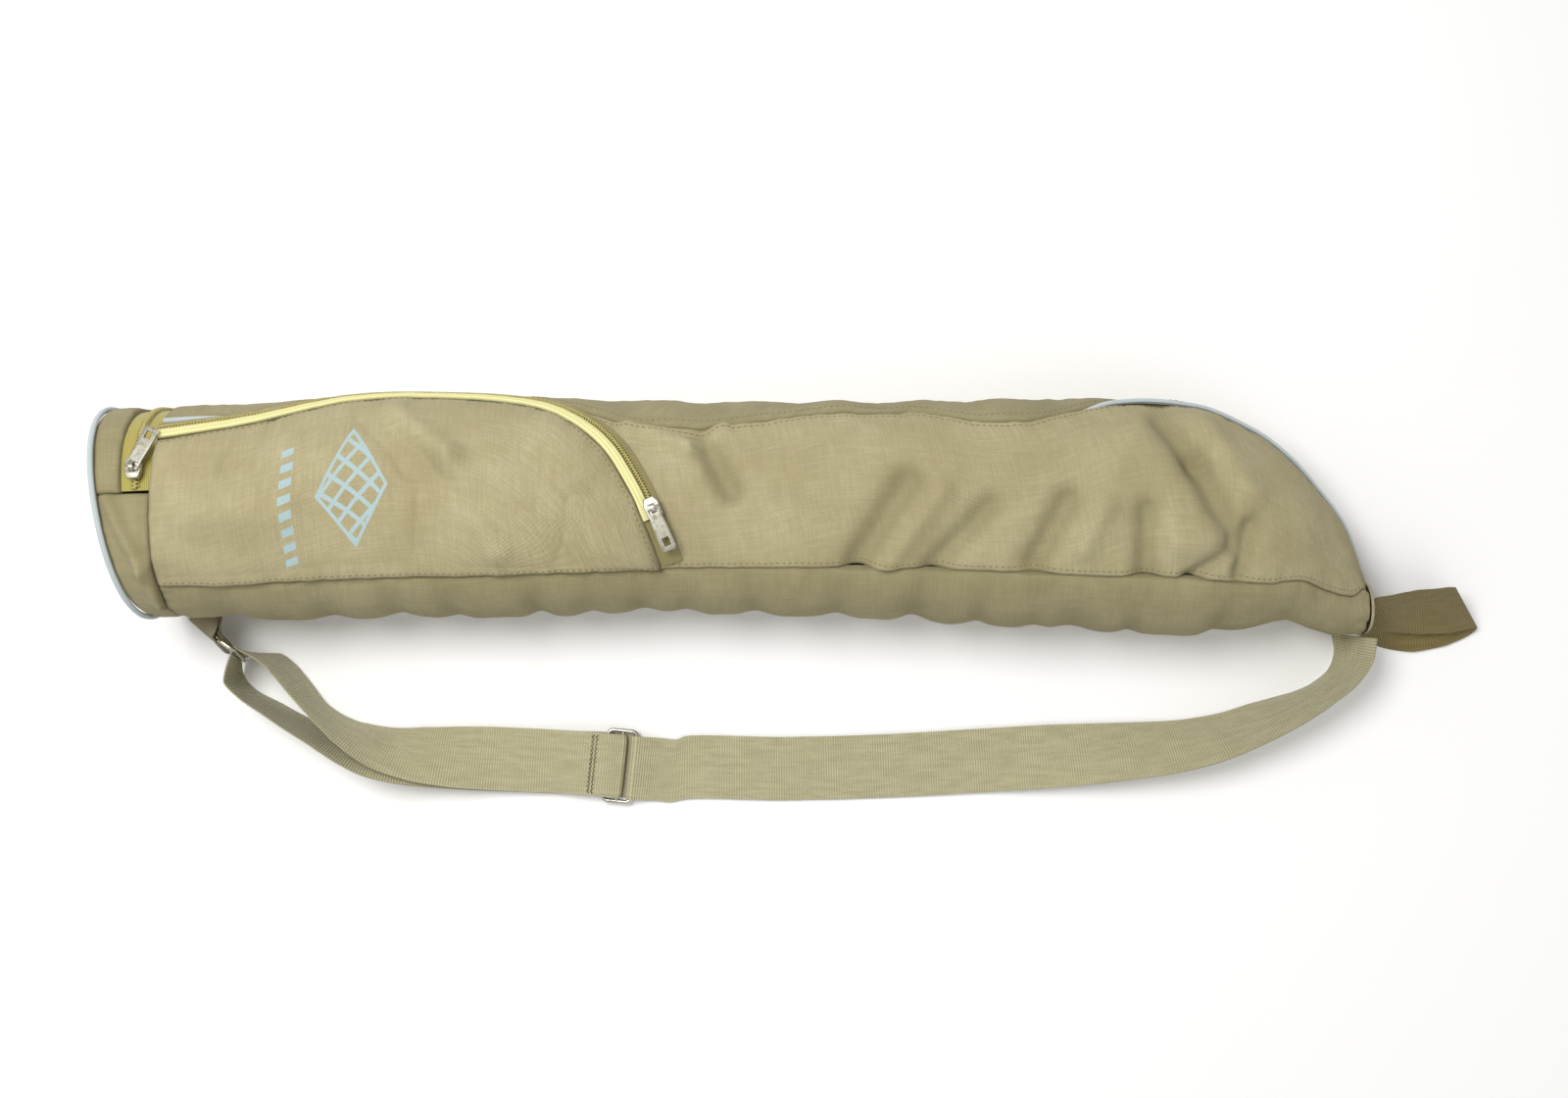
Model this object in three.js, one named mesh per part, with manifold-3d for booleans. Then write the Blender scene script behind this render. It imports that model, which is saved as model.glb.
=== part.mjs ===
// A yoga mat bag lying on its back panel: a sewn canvas tube with a round base
// at the left (-X), a slanted end at the right (+X), an outer zip pocket, a long
// main zip, and a webbing shoulder strap laid on the surface in front (-Y).
// Millimetres, +X along the bag, +Z up. The origin is at the bottom centre.
import * as THREE from "three";
import Module from "manifold-3d";
import { mergeVertices } from "three/addons/utils/BufferGeometryUtils.js";

const wasm = await Module();
wasm.setup();

// The body
const BAG_LENGTH = 716;
const BAG_WIDTH = 125;
const BAG_HEIGHT = 108;
const CLOTH = 2;
const SEAM_GAP = 0.35;
const BASE_SKEW = 0.18; // how far the round base turns, as a slope
const BASE_DOME = 4;
const PIPING_RADIUS = 1.6;

// The zips
const END_BAND_WIDTH = 26.8;
const MAIN_ZIP_OPENING = 15;
const ZIP_TAPE_HALF = 9.5;
const ZIP_TAPE_THICK = 0.8;
const ZIP_COIL_WIDTH = 5;
const ZIP_COIL_THICK = 2.2;
const ZIP_TURN_RADIUS = 14;
const POCKET_TRIM_WIDTH = 5.8;
const POCKET_COIL_WIDTH = 3.2;
const POCKET_TAPE_EDGE = 9.4;
const SLIDER_LENGTH = 12;
const SLIDER_WIDTH = 9;
const SLIDER_HEIGHT = 3;
const BAIL_INNER_RADIUS = 1.6;
const BAIL_THICK = 1.1;
const BAIL_WIDTH = 2.6;
const PULLER_LENGTH = 25;
const PULLER_WIDTH = 8;
const PULLER_THICK = 1.4;
const END_PULLER_TURN = -24; // degrees that the tab lies turned on its slider

// The webbing and its metal
const WEBBING_WIDTH = 38;
const WEBBING_THICK = 1.5;
const WEBBING_PLAY = 1; // room beside the webbing inside the ring and the slider
const STRAP_REACH = 151; // from the bag's axis to the middle of the strap
const WIRE = 2.6;
const WIRE_BEVEL = 0.6;
const RING_GAP = 8.4; // between the ring's two long wires
const ADJUSTER_PITCH = 8.6; // between neighbouring bars of the strap adjuster
const HANG_LOOP_REACH = 62;
const CLEAR = 0.35; // between pieces that touch
const POCKET_EASE = 1; // between the pocket and the front panel under it
const POCKET_PUFF = 3; // how far the pocket's middle stands off the panel
const STATIONS = 46; // along every body panel, so that neighbours keep their gap

const COLOURS = {
  canvas: 0xada080,
  canvasDark: 0x948a68,
  trim: 0xd8d497,
  tape: 0x8f8a5c,
  coil: 0xb5ac70,
  piping: 0xc9d3d8,
  metal: 0xb9bcbd,
  webbing: 0xa49f80,
  webbingDark: 0x6f6b4c,
};

const rad = THREE.MathUtils.degToRad;
const vec = (x, y, z) => new THREE.Vector3(x, y, z);
const mix = (a, b, t) => a + (b - a) * t;

// The body's cross sections. Every length is a share: far and near of half the
// bag's width, top and under of the bag's height.
const SECTIONS = [
  { at: 0.0, far: 0.96, near: -0.96, top: 1.0, under: 0 },
  { at: 0.05, far: 0.992, near: -0.96, top: 1.0, under: 0 },
  { at: 0.1, far: 1.008, near: -0.992, top: 0.98, under: 0 },
  { at: 0.2, far: 1.08, near: -0.976, top: 0.963, under: 0 },
  { at: 0.3, far: 1.072, near: -0.968, top: 0.954, under: 0 },
  { at: 0.42, far: 1.032, near: -0.93, top: 0.926, under: 0 },
  { at: 0.5, far: 1.024, near: -0.944, top: 0.926, under: 0 },
  { at: 0.6, far: 1.024, near: -0.992, top: 0.935, under: 0 },
  { at: 0.7, far: 1.048, near: -1.056, top: 0.944, under: 0 },
  { at: 0.8, far: 1.048, near: -1.128, top: 0.926, under: 0 },
  { at: 0.85, far: 0.992, near: -1.136, top: 0.898, under: 0 },
  { at: 0.9, far: 0.768, near: -1.064, top: 0.815, under: 0 },
  { at: 0.93, far: 0.528, near: -0.99, top: 0.74, under: 0 },
  { at: 0.955, far: 0.24, near: -1.08, top: 0.63, under: 0.01 },
  { at: 0.98, far: -0.12, near: -1.15, top: 0.52, under: 0.04 },
  { at: 1.0, far: -0.72, near: -1.14, top: 0.41, under: 0.08 },
];
const ROUNDNESS = 2.2; // exponent of the section's curve, 2 is an ellipse
const WIDEST_AT = 0.45; // height of the widest place, as a share
const FLATTENED = 1.1; // how far the round underside would reach below the floor

// Where the seams run: an angle round the section for each share of the length,
// 0 at the far side, 90 on top, 180 at the near side and 270 underneath.
const FRONT_SEAM = [
  { at: 0.0, angle: 39 },
  { at: 0.06, angle: 37 },
  { at: 0.1, angle: 29 },
  { at: 0.14, angle: 20 },
  { at: 0.18, angle: 12 },
  { at: 0.23, angle: 8 },
  { at: 0.3, angle: 9 },
  { at: 0.33, angle: 18 },
  { at: 0.354, angle: 29 },
  { at: 0.389, angle: 42 },
  { at: 0.419, angle: 48 },
  { at: 0.45, angle: 47.5 },
  { at: 0.496, angle: 42.6 },
  { at: 0.572, angle: 31.5 },
  { at: 0.618, angle: 31.5 },
  { at: 0.649, angle: 36.5 },
  { at: 0.679, angle: 42.6 },
  { at: 0.71, angle: 42 },
  { at: 0.74, angle: 35.4 },
  { at: 0.782, angle: 21 },
  { at: 0.822, angle: 14 },
  { at: 0.86, angle: 12 },
  { at: 1.0, angle: 12 },
];
const LOWER_SEAM = [
  { at: 0.0, angle: 134 },
  { at: 0.05, angle: 132 },
  { at: 0.102, angle: 129 },
  { at: 0.149, angle: 127.5 },
  { at: 0.3, angle: 125.4 },
  { at: 0.451, angle: 123 },
  { at: 0.602, angle: 119.8 },
  { at: 0.752, angle: 118.7 },
  { at: 0.829, angle: 118 },
  { at: 0.908, angle: 121.7 },
  { at: 0.951, angle: 116 },
  { at: 0.98, angle: 104 },
  { at: 1.0, angle: 50 },
];
const POCKET_ZIP = [
  { at: 0.0396, angle: 51 },
  { at: 0.057, angle: 49 },
  { at: 0.101, angle: 42.3 },
  { at: 0.143, angle: 33.8 },
  { at: 0.179, angle: 26.4 },
  { at: 0.224, angle: 21 },
  { at: 0.271, angle: 22.6 },
  { at: 0.327, angle: 31 },
  { at: 0.3655, angle: 47.5 },
  { at: 0.387, angle: 62.2 },
  { at: 0.4025, angle: 77.7 },
  { at: 0.415, angle: 91.7 },
  { at: 0.4245, angle: 105.4 },
  { at: 0.4317, angle: 119.5 },
];
const END_SEAM_ANGLE = 83;
const BACK_NEAR_ANGLE = 222;
const BACK_FAR_ANGLE = 322;
const MAIN_ZIP_ANGLE = -9;
const MAIN_ZIP_END = 0.95;
const POCKET_SLIDER_AT = 0.87; // along the pocket's zip
// How far the piping stands out of its seam, in piping radii.
const PIPING_RISE = [
  { at: 0.0, rise: 0.35 },
  { at: 0.12, rise: -0.3 },
  { at: 0.74, rise: -0.3 },
  { at: 0.82, rise: 0.35 },
  { at: 1.0, rise: 0.35 },
];

// Dents and creases, each along a line seen from above. Places are shares of
// the length and of half the width; spread and depth are shares of the width.
const FRONT_FOLDS = [
  { along: 0.46, across: 0.64, toAlong: 0.481, toAcross: 0.18, spread: 0.072, depth: -0.036 },
  { along: 0.401, across: 0.76, toAlong: 0.449, toAcross: 0.55, spread: 0.048, depth: 0.02 },
  { along: 0.449, across: 0.55, toAlong: 0.475, toAcross: 0.73, spread: 0.048, depth: 0.02 },
  { along: 0.617, across: 0.27, toAlong: 0.579, toAcross: -0.46, spread: 0.088, depth: -0.036 },
  { along: 0.643, across: 0.18, toAlong: 0.599, toAcross: -0.51, spread: 0.072, depth: 0.024 },
  { along: 0.681, across: 0.05, toAlong: 0.636, toAcross: -0.51, spread: 0.072, depth: -0.028 },
  { along: 0.741, across: 0.1, toAlong: 0.715, toAcross: -0.46, spread: 0.08, depth: -0.032 },
  { along: 0.768, across: 0.05, toAlong: 0.752, toAcross: -0.33, spread: 0.08, depth: 0.024 },
  { along: 0.803, across: 0.01, toAlong: 0.802, toAcross: -0.55, spread: 0.072, depth: -0.032 },
  { along: 0.819, across: 0.84, toAlong: 0.842, toAcross: 0.45, spread: 0.08, depth: -0.032 },
  { along: 0.843, across: 0.45, toAlong: 0.868, toAcross: -0.2, spread: 0.08, depth: -0.04 },
  { along: 0.853, across: 0.71, toAlong: 0.884, toAcross: 0.19, spread: 0.096, depth: 0.024 },
  { along: 0.826, across: -0.25, toAlong: 0.86, toAcross: -0.26, spread: 0.112, depth: 0.032 },
  { along: 0.868, across: -0.33, toAlong: 0.838, toAcross: -0.6, spread: 0.056, depth: -0.032 },
  { along: 0.886, across: -0.13, toAlong: 0.878, toAcross: -0.55, spread: 0.056, depth: -0.032 },
];
const POCKET_FOLDS = [
  { along: 0.116, across: 0.7, toAlong: 0.098, toAcross: 0.37, spread: 0.056, depth: -0.02 },
  { along: 0.199, across: 0.83, toAlong: 0.239, toAcross: 0.4, spread: 0.072, depth: -0.024 },
  { along: 0.24, across: 0.4, toAlong: 0.289, toAcross: 0.05, spread: 0.072, depth: -0.024 },
  { along: 0.221, across: 0.83, toAlong: 0.266, toAcross: 0.44, spread: 0.064, depth: 0.024 },
  { along: 0.266, across: 0.44, toAlong: 0.302, toAcross: -0.33, spread: 0.08, depth: 0.028 },
  { along: 0.248, across: 0.1, toAlong: 0.25, toAcross: -0.44, spread: 0.064, depth: -0.02 },
  { along: 0.364, across: 0.05, toAlong: 0.36, toAcross: -0.51, spread: 0.088, depth: -0.024 },
  { along: 0.083, across: -0.03, toAlong: 0.139, toAcross: 0.01, spread: 0.128, depth: 0.032 },
  { along: 0.341, across: 0.7, toAlong: 0.371, toAcross: 0.36, spread: 0.096, depth: 0.02 },
];
const BAND_PUCKERS = [
  { along: 0.082, spread: 0.072, depth: -0.022 },
  { along: 0.16, spread: 0.072, depth: -0.022 },
  { along: 0.214, spread: 0.08, depth: -0.026 },
  { along: 0.26, spread: 0.056, depth: -0.018 },
  { along: 0.326, spread: 0.056, depth: -0.03 },
  { along: 0.368, spread: 0.064, depth: -0.022 },
  { along: 0.41, spread: 0.064, depth: -0.022 },
  { along: 0.445, spread: 0.064, depth: -0.022 },
  { along: 0.499, spread: 0.072, depth: -0.026 },
  { along: 0.565, spread: 0.064, depth: -0.022 },
  { along: 0.627, spread: 0.072, depth: -0.036 },
  { along: 0.677, spread: 0.056, depth: -0.022 },
  { along: 0.723, spread: 0.056, depth: -0.018 },
  { along: 0.754, spread: 0.104, depth: -0.034 },
  { along: 0.8, spread: 0.064, depth: -0.022 },
  { along: 0.87, spread: 0.064, depth: -0.022 },
];
const END_BAND_FOLDS = [
  { along: 0.006, across: 0.1, toAlong: 0.03, toAcross: -0.5, spread: 0.04, depth: 0.024 },
  { along: 0.03, across: -0.5, toAlong: 0.036, toAcross: -0.8, spread: 0.04, depth: 0.024 },
];

// The strap's middle line, from the adjuster round the ring and back, and then
// on to the bag's right end. along is a share of the bag's length from its
// middle, out a share of STRAP_REACH, rise a share of the webbing's width, and
// tilt is how far the webbing stands up on its inner edge, in degrees.
const UPPER_RUN = [
  { along: -0.172, out: 0.984, rise: 0.16, tilt: 0 },
  { along: -0.2, out: 0.974, rise: 0.11, tilt: 1 },
  { along: -0.234, out: 0.962, rise: 0.14, tilt: 5 },
  { along: -0.266, out: 0.96, rise: 0.217, tilt: 14 },
  { along: -0.299, out: 0.952, rise: 0.3, tilt: 24 },
  { along: -0.329, out: 0.924, rise: 0.37, tilt: 33 },
  { along: -0.345, out: 0.886, rise: 0.45, tilt: 43 },
  { along: -0.36, out: 0.802, rise: 0.49, tilt: 55 },
  { along: -0.376, out: 0.694, rise: 0.5, tilt: 63 },
  { along: -0.393, out: 0.624, rise: 0.51, tilt: 68 },
  { along: -0.409, out: 0.57, rise: 0.52, tilt: 72 },
];
const LOWER_RUN = [
  { along: -0.4366, out: 0.65, rise: 0.52, tilt: 76 },
  { along: -0.425, out: 0.706, rise: 0.51, tilt: 75 },
  { along: -0.409, out: 0.758, rise: 0.5, tilt: 73 },
  { along: -0.393, out: 0.802, rise: 0.49, tilt: 70 },
  { along: -0.376, out: 0.841, rise: 0.47, tilt: 64 },
  { along: -0.36, out: 0.868, rise: 0, tilt: 54 },
  { along: -0.345, out: 0.892, rise: 0, tilt: 42 },
  { along: -0.329, out: 0.92, rise: 0, tilt: 32 },
  { along: -0.299, out: 0.95, rise: 0, tilt: 23 },
  { along: -0.266, out: 0.962, rise: 0, tilt: 13 },
  { along: -0.234, out: 0.972, rise: 0, tilt: 4 },
  { along: -0.2, out: 0.982, rise: 0, tilt: 0 },
  { along: -0.165, out: 0.992, rise: 0, tilt: 0 },
];
const RIGHT_RUN = [
  { along: -0.06, out: 1.012, rise: 0, tilt: 0 },
  { along: 0.022, out: 1.016, rise: 0, tilt: 0 },
  { along: 0.105, out: 1.006, rise: 0, tilt: 0 },
  { along: 0.188, out: 0.983, rise: 0, tilt: 3 },
  { along: 0.245, out: 0.964, rise: 0, tilt: 15 },
  { along: 0.31, out: 0.939, rise: 0, tilt: 34 },
  { along: 0.357, out: 0.913, rise: 0, tilt: 45 },
  { along: 0.389, out: 0.875, rise: 0, tilt: 53 },
  { along: 0.422, out: 0.816, rise: 0, tilt: 61 },
  { along: 0.454, out: 0.75, rise: 0, tilt: 72 },
  { along: 0.47, out: 0.706, rise: 0, tilt: 77 },
  { along: 0.4865, out: 0.642, rise: 0, tilt: 77 },
  { along: 0.4955, out: 0.564, rise: 0, tilt: 71 },
  { along: 0.4965, out: 0.482, rise: 0, tilt: 65 },
];
const ADJUSTER_AT = { along: -0.116, out: 1.003, turn: -6 };
const RING_AT = { along: -0.4345, out: 0.536, turn: -35, lean: 14 };

// A monotone curve through the rows of a table, read at a share of the length.
function readTable(rows, key, place, by = "at") {
  const x = rows.map((row) => row[by]);
  const y = rows.map((row) => row[key]);
  const last = x.length - 1;
  if (place <= x[0]) return y[0];
  if (place >= x[last]) return y[last];
  let k = 0;
  while (place > x[k + 1]) k += 1;
  const rise = (i) => (y[i + 1] - y[i]) / (x[i + 1] - x[i]);
  const slope = (i) => {
    if (i === 0) return rise(0);
    if (i === last) return rise(last - 1);
    const [before, after] = [rise(i - 1), rise(i)];
    return before * after > 0 ? (2 * before * after) / (before + after) : 0;
  };
  const span = x[k + 1] - x[k];
  const t = (place - x[k]) / span;
  const t2 = t * t;
  const t3 = t2 * t;
  return (
    (2 * t3 - 3 * t2 + 1) * y[k] +
    (t3 - 2 * t2 + t) * span * slope(k) +
    (3 * t2 - 2 * t3) * y[k + 1] +
    (t3 - t2) * span * slope(k + 1)
  );
}

// A point on the outside of the smooth body. at is the share of the length and
// angle the place round the section, in degrees.
function bodyPoint(at, angle) {
  const far = (readTable(SECTIONS, "far", at) * BAG_WIDTH) / 2;
  const near = (readTable(SECTIONS, "near", at) * BAG_WIDTH) / 2;
  const top = readTable(SECTIONS, "top", at) * BAG_HEIGHT;
  const under = readTable(SECTIONS, "under", at) * BAG_HEIGHT;
  const widest = mix(under, top, WIDEST_AT);
  const [c, s] = [Math.cos(rad(angle)), Math.sin(rad(angle))];
  const curve = (v) => Math.sign(v) * Math.abs(v) ** (2 / ROUNDNESS);
  const y = (far + near) / 2 + ((far - near) / 2) * curve(c);
  const height = s > 0 ? top - widest : (widest - under) * FLATTENED;
  const z = Math.max(widest + height * curve(s), under);
  const skew = BASE_SKEW * Math.max(0, 1 - (at * BAG_LENGTH) / END_BAND_WIDTH);
  return vec(BAG_LENGTH * (at - 0.5) - skew * y, y, z);
}

// The two surface directions, in millimetres for a share and for a degree.
function bodySlopes(at, angle) {
  const [da, dg] = [0.0015, 0.4];
  const low = Math.max(0, at - da);
  const high = Math.min(1, at + da);
  const alongBag = bodyPoint(high, angle).sub(bodyPoint(low, angle));
  const round = bodyPoint(at, angle + dg).sub(bodyPoint(at, angle - dg));
  return { alongBag: alongBag.divideScalar(high - low), round: round.divideScalar(2 * dg) };
}

function bodyNormal(at, angle) {
  const { alongBag, round } = bodySlopes(at, angle);
  return round.cross(alongBag).normalize();
}

// A dent or ridge: a Gaussian across its line, on the upper half of the body.
function foldHeight(point, folds) {
  const upper = THREE.MathUtils.smoothstep(point.z, 0.25 * BAG_HEIGHT, 0.5 * BAG_HEIGHT);
  return upper * folds.reduce((sum, fold) => {
    const start = [(fold.along - 0.5) * BAG_LENGTH, (fold.across * BAG_WIDTH) / 2];
    const end = [(fold.toAlong - 0.5) * BAG_LENGTH, (fold.toAcross * BAG_WIDTH) / 2];
    const run = [end[0] - start[0], end[1] - start[1]];
    const reach = run[0] ** 2 + run[1] ** 2;
    const dot = (point.x - start[0]) * run[0] + (point.y - start[1]) * run[1];
    const t = THREE.MathUtils.clamp(dot / reach, 0, 1);
    const away = Math.hypot(point.x - start[0] - run[0] * t, point.y - start[1] - run[1] * t);
    return sum + fold.depth * BAG_WIDTH * Math.exp(-((away / (fold.spread * BAG_WIDTH)) ** 2));
  }, 0);
}

// Puckers across the near band, deepest midway between its two seams.
function puckerHeight(at, across) {
  const crown = Math.sin(Math.PI * across);
  return BAND_PUCKERS.reduce((sum, row) => {
    const away = ((at - row.along) * BAG_LENGTH) / (row.spread * BAG_WIDTH);
    return sum + row.depth * BAG_WIDTH * crown * Math.exp(-(away ** 2));
  }, 0);
}

// Moves a place on the body by millimetres along the bag and round it.
function shifted(place, lengthwise, around) {
  const { alongBag, round } = bodySlopes(place.at, place.angle);
  return {
    at: place.at + lengthwise / alongBag.length(),
    angle: place.angle + around / round.length(),
  };
}

const seamLine = (table) => (at) => ({ at, angle: readTable(table, "angle", at) });
const levelLine = (angle) => (at) => ({ at, angle });

// A closed solid from two grids of points, the outer skin and the inner one.
function slab(rows, columns, skinPoint) {
  const skins = [0, 1].map((side) =>
    Array.from({ length: rows + 1 }, (_, i) =>
      Array.from({ length: columns + 1 }, (_, j) => skinPoint(i / rows, j / columns, side)),
    ),
  );
  const vertices = skins.flat(2);
  const index = (side, i, j) => (side * (rows + 1) + i) * (columns + 1) + j;
  const faces = [];
  const quad = (a, b, c, d) => faces.push(a, b, c, a, c, d);
  for (let i = 0; i < rows; i += 1)
    for (let j = 0; j < columns; j += 1) {
      quad(index(0, i, j), index(0, i + 1, j), index(0, i + 1, j + 1), index(0, i, j + 1));
      quad(index(1, i, j), index(1, i, j + 1), index(1, i + 1, j + 1), index(1, i + 1, j));
    }
  for (let i = 0; i < rows; i += 1) {
    quad(index(0, i, 0), index(1, i, 0), index(1, i + 1, 0), index(0, i + 1, 0));
    quad(index(0, i, columns), index(0, i + 1, columns), index(1, i + 1, columns), index(1, i, columns));
  }
  for (let j = 0; j < columns; j += 1) {
    quad(index(0, 0, j), index(0, 0, j + 1), index(1, 0, j + 1), index(1, 0, j));
    quad(index(0, rows, j), index(1, rows, j), index(1, rows, j + 1), index(0, rows, j + 1));
  }
  return facingOut(vertices, faces);
}

// A ring of closed sections joined end to end, for piping that closes on itself.
function closedTube(sections) {
  const count = sections.length;
  const sides = sections[0].length;
  const faces = [];
  for (let i = 0; i < count; i += 1)
    for (let j = 0; j < sides; j += 1) {
      const [a, b] = [i * sides + j, i * sides + ((j + 1) % sides)];
      const [c, d] = [((i + 1) % count) * sides + j, ((i + 1) % count) * sides + ((j + 1) % sides)];
      faces.push(a, c, d, a, d, b);
    }
  return facingOut(sections.flat(), faces);
}

// A thin plate inside a flat outline, doubled at the given thickness.
function plate(outline, thickness, dome) {
  const centre = outline.reduce((sum, p) => sum.add(p), vec(0, 0, 0)).divideScalar(outline.length);
  const rings = [1, 0.55];
  const count = outline.length;
  const side = (shift) => [
    ...rings.flatMap((share) =>
      outline.map((p) => {
        const point = centre.clone().lerp(p, share);
        return point.addScaledVector(dome, 1 - share ** 2).add(shift);
      }),
    ),
    centre.clone().add(dome).add(shift),
  ];
  const vertices = [...side(vec(0, 0, 0)), ...side(thickness)];
  const half = vertices.length / 2;
  const faces = [];
  for (let j = 0; j < count; j += 1) {
    const next = (j + 1) % count;
    for (let r = 0; r < rings.length - 1; r += 1) {
      const [a, b, c, d] = [r * count + j, r * count + next, (r + 1) * count + j, (r + 1) * count + next];
      faces.push(a, b, d, a, d, c, half + a, half + d, half + b, half + a, half + c, half + d);
    }
    const inner = (rings.length - 1) * count;
    faces.push(inner + j, inner + next, half - 1);
    faces.push(half + inner + j, 2 * half - 1, half + inner + next);
    faces.push(j, half + j, half + next, j, half + next, next);
  }
  return facingOut(vertices, faces);
}

// Makes a geometry and turns its faces outwards.
function facingOut(vertices, faces) {
  let volume = 0;
  for (let i = 0; i < faces.length; i += 3) {
    const [a, b, c] = [vertices[faces[i]], vertices[faces[i + 1]], vertices[faces[i + 2]]];
    volume += a.dot(b.clone().cross(c));
  }
  const index = [];
  for (let i = 0; i < faces.length; i += 3)
    if (volume > 0) index.push(faces[i], faces[i + 1], faces[i + 2]);
    else index.push(faces[i], faces[i + 2], faces[i + 1]);
  return new THREE.BufferGeometry().setFromPoints(vertices).setIndex(index);
}

// A sewn panel between two seam lines. Each line gives a place for a share p.
function panel(lineA, lineB, along, across, { outside = 0, thick = CLOTH, relief }) {
  return slab(along, across, (p, q, side) => {
    const [a, b] = [lineA(p), lineB(p)];
    const place = { at: mix(a.at, b.at, q), angle: mix(a.angle, b.angle, q) };
    const point = bodyPoint(place.at, place.angle);
    const height = relief ? relief(point, place, q) : 0;
    const level = outside + height - side * thick;
    return point.addScaledVector(bodyNormal(place.at, place.angle), level);
  });
}

// A seam line stretched over a range of the length, set back from its seam.
const between = (line, from, to, back = 0) => (p) => shifted(line(mix(from, to, p)), 0, back);

// A path drawn on the body: places with the surface directions along it.
function surfaceFrame(path, p) {
  const step = 0.002;
  const [before, after] = [path(Math.max(0, p - step)), path(Math.min(1, p + step))];
  const place = path(p);
  const along = bodyPoint(after.at, after.angle).sub(bodyPoint(before.at, before.angle)).normalize();
  const normal = bodyNormal(place.at, place.angle);
  along.addScaledVector(normal, -along.dot(normal)).normalize();
  return { place, along, normal, side: along.clone().cross(normal) };
}

// A place beside the path, measured over the surface in millimetres.
function besidePath(frame, lateral) {
  const { alongBag, round } = bodySlopes(frame.place.at, frame.place.angle);
  const [uu, vv, uv] = [alongBag.dot(alongBag), round.dot(round), alongBag.dot(round)];
  const [su, sv] = [frame.side.dot(alongBag), frame.side.dot(round)];
  const det = uu * vv - uv * uv;
  return {
    at: frame.place.at + (lateral * (su * vv - sv * uv)) / det,
    angle: frame.place.angle + (lateral * (sv * uu - su * uv)) / det,
  };
}

// A strip that follows a path on the body, such as tape, trim or zip coil.
function strip(path, along, { from, to, bottom, top }) {
  return slab(along, 1, (p, q, side) => {
    const beside = besidePath(surfaceFrame(path, p), mix(from, to, q));
    const at = THREE.MathUtils.clamp(beside.at, 0, 1);
    const normal = bodyNormal(at, beside.angle);
    return bodyPoint(at, beside.angle).addScaledVector(normal, side ? bottom : top);
  });
}

const material = (colour, metal = false) =>
  new THREE.MeshStandardMaterial({
    color: colour,
    roughness: metal ? 0.3 : 0.9,
    metalness: metal ? 1 : 0,
  });

const bag = new THREE.Group();
const model = new THREE.Group();
bag.add(model);

function addPiece(name, geometry, colour, metal = false) {
  const mesh = new THREE.Mesh(geometry, material(colour, metal));
  mesh.name = name;
  model.add(mesh);
  return mesh;
}

// The round base with its rim piping
const RIM_STATIONS = 36;
const rimDrop = PIPING_RADIUS + SEAM_GAP;
const baseOutline = (inset, floor, count) =>
  Array.from({ length: count }, (_, i) => {
    const angle = (360 * i) / count;
    const p = bodyPoint(0, angle);
    const centre = vec(p.x, 0, BAG_HEIGHT / 2);
    const flat = vec(0, p.y - centre.y, p.z - centre.z);
    const scaled = flat.clone().setLength(flat.length() - inset);
    const z = Math.max(centre.z + scaled.z, floor);
    return vec(p.x + BASE_SKEW * (p.y - scaled.y), scaled.y, z);
  });

function rimSections(count, sides) {
  const out = vec(-1, -BASE_SKEW, 0).normalize();
  const path = baseOutline(0.3, PIPING_RADIUS, count).map((p) => p.addScaledVector(out, rimDrop));
  return path.map((p, i) => {
    const run = path[(i + 1) % count].clone().sub(path[(i + count - 1) % count]).normalize();
    const across = run.clone().cross(out).normalize();
    return Array.from({ length: sides }, (_, j) => {
      const turn = (2 * Math.PI * j) / sides;
      const c = Math.cos(turn) * PIPING_RADIUS;
      const s = Math.sin(turn) * PIPING_RADIUS;
      const point = p.clone().addScaledVector(across, c).addScaledVector(out, s);
      point.z = Math.max(point.z, 0);
      return point;
    });
  });
}
addPiece("base_piping", closedTube(rimSections(RIM_STATIONS, 6)), COLOURS.piping);

const capOutline = baseOutline(
  0.3 + PIPING_RADIUS + 2 * SEAM_GAP,
  2 * PIPING_RADIUS + 2 * SEAM_GAP,
  RIM_STATIONS,
).map((p) => p.add(vec(-SEAM_GAP, 0, 0)));
addPiece("base_disc", plate(capOutline, vec(-CLOTH, 0, 0), vec(-BASE_DOME, 0, 0)), COLOURS.canvas);

// The band round the base, in two pieces that the main zip parts
const bandStart = 0.0004;
const zipShare = MAIN_ZIP_OPENING / 2 / BAG_LENGTH;
const bodyStart = END_BAND_WIDTH / BAG_LENGTH + SEAM_GAP / BAG_LENGTH;
const zipAt = bodyStart - zipShare;
const bandFolds = (point) => foldHeight(point, END_BAND_FOLDS);
const ringLine = (at, from, to) => (p) => ({ at, angle: mix(from, to, p) });

const zipFarEdge = MAIN_ZIP_ANGLE - MAIN_ZIP_OPENING / 2;
addPiece(
  "end_band_upper",
  panel(
    ringLine(bandStart, zipFarEdge + 1, END_SEAM_ANGLE - 0.4),
    ringLine(zipAt - zipShare, zipFarEdge + 1, END_SEAM_ANGLE - 0.4),
    14,
    2,
    {},
  ),
  COLOURS.canvas,
);
addPiece(
  "end_band_lower",
  panel(
    ringLine(bandStart, END_SEAM_ANGLE, 360 + zipFarEdge),
    ringLine(bodyStart - SEAM_GAP / BAG_LENGTH, END_SEAM_ANGLE, 360 + zipFarEdge),
    32,
    3,
    { relief: bandFolds },
  ),
  COLOURS.canvas,
);

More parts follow.
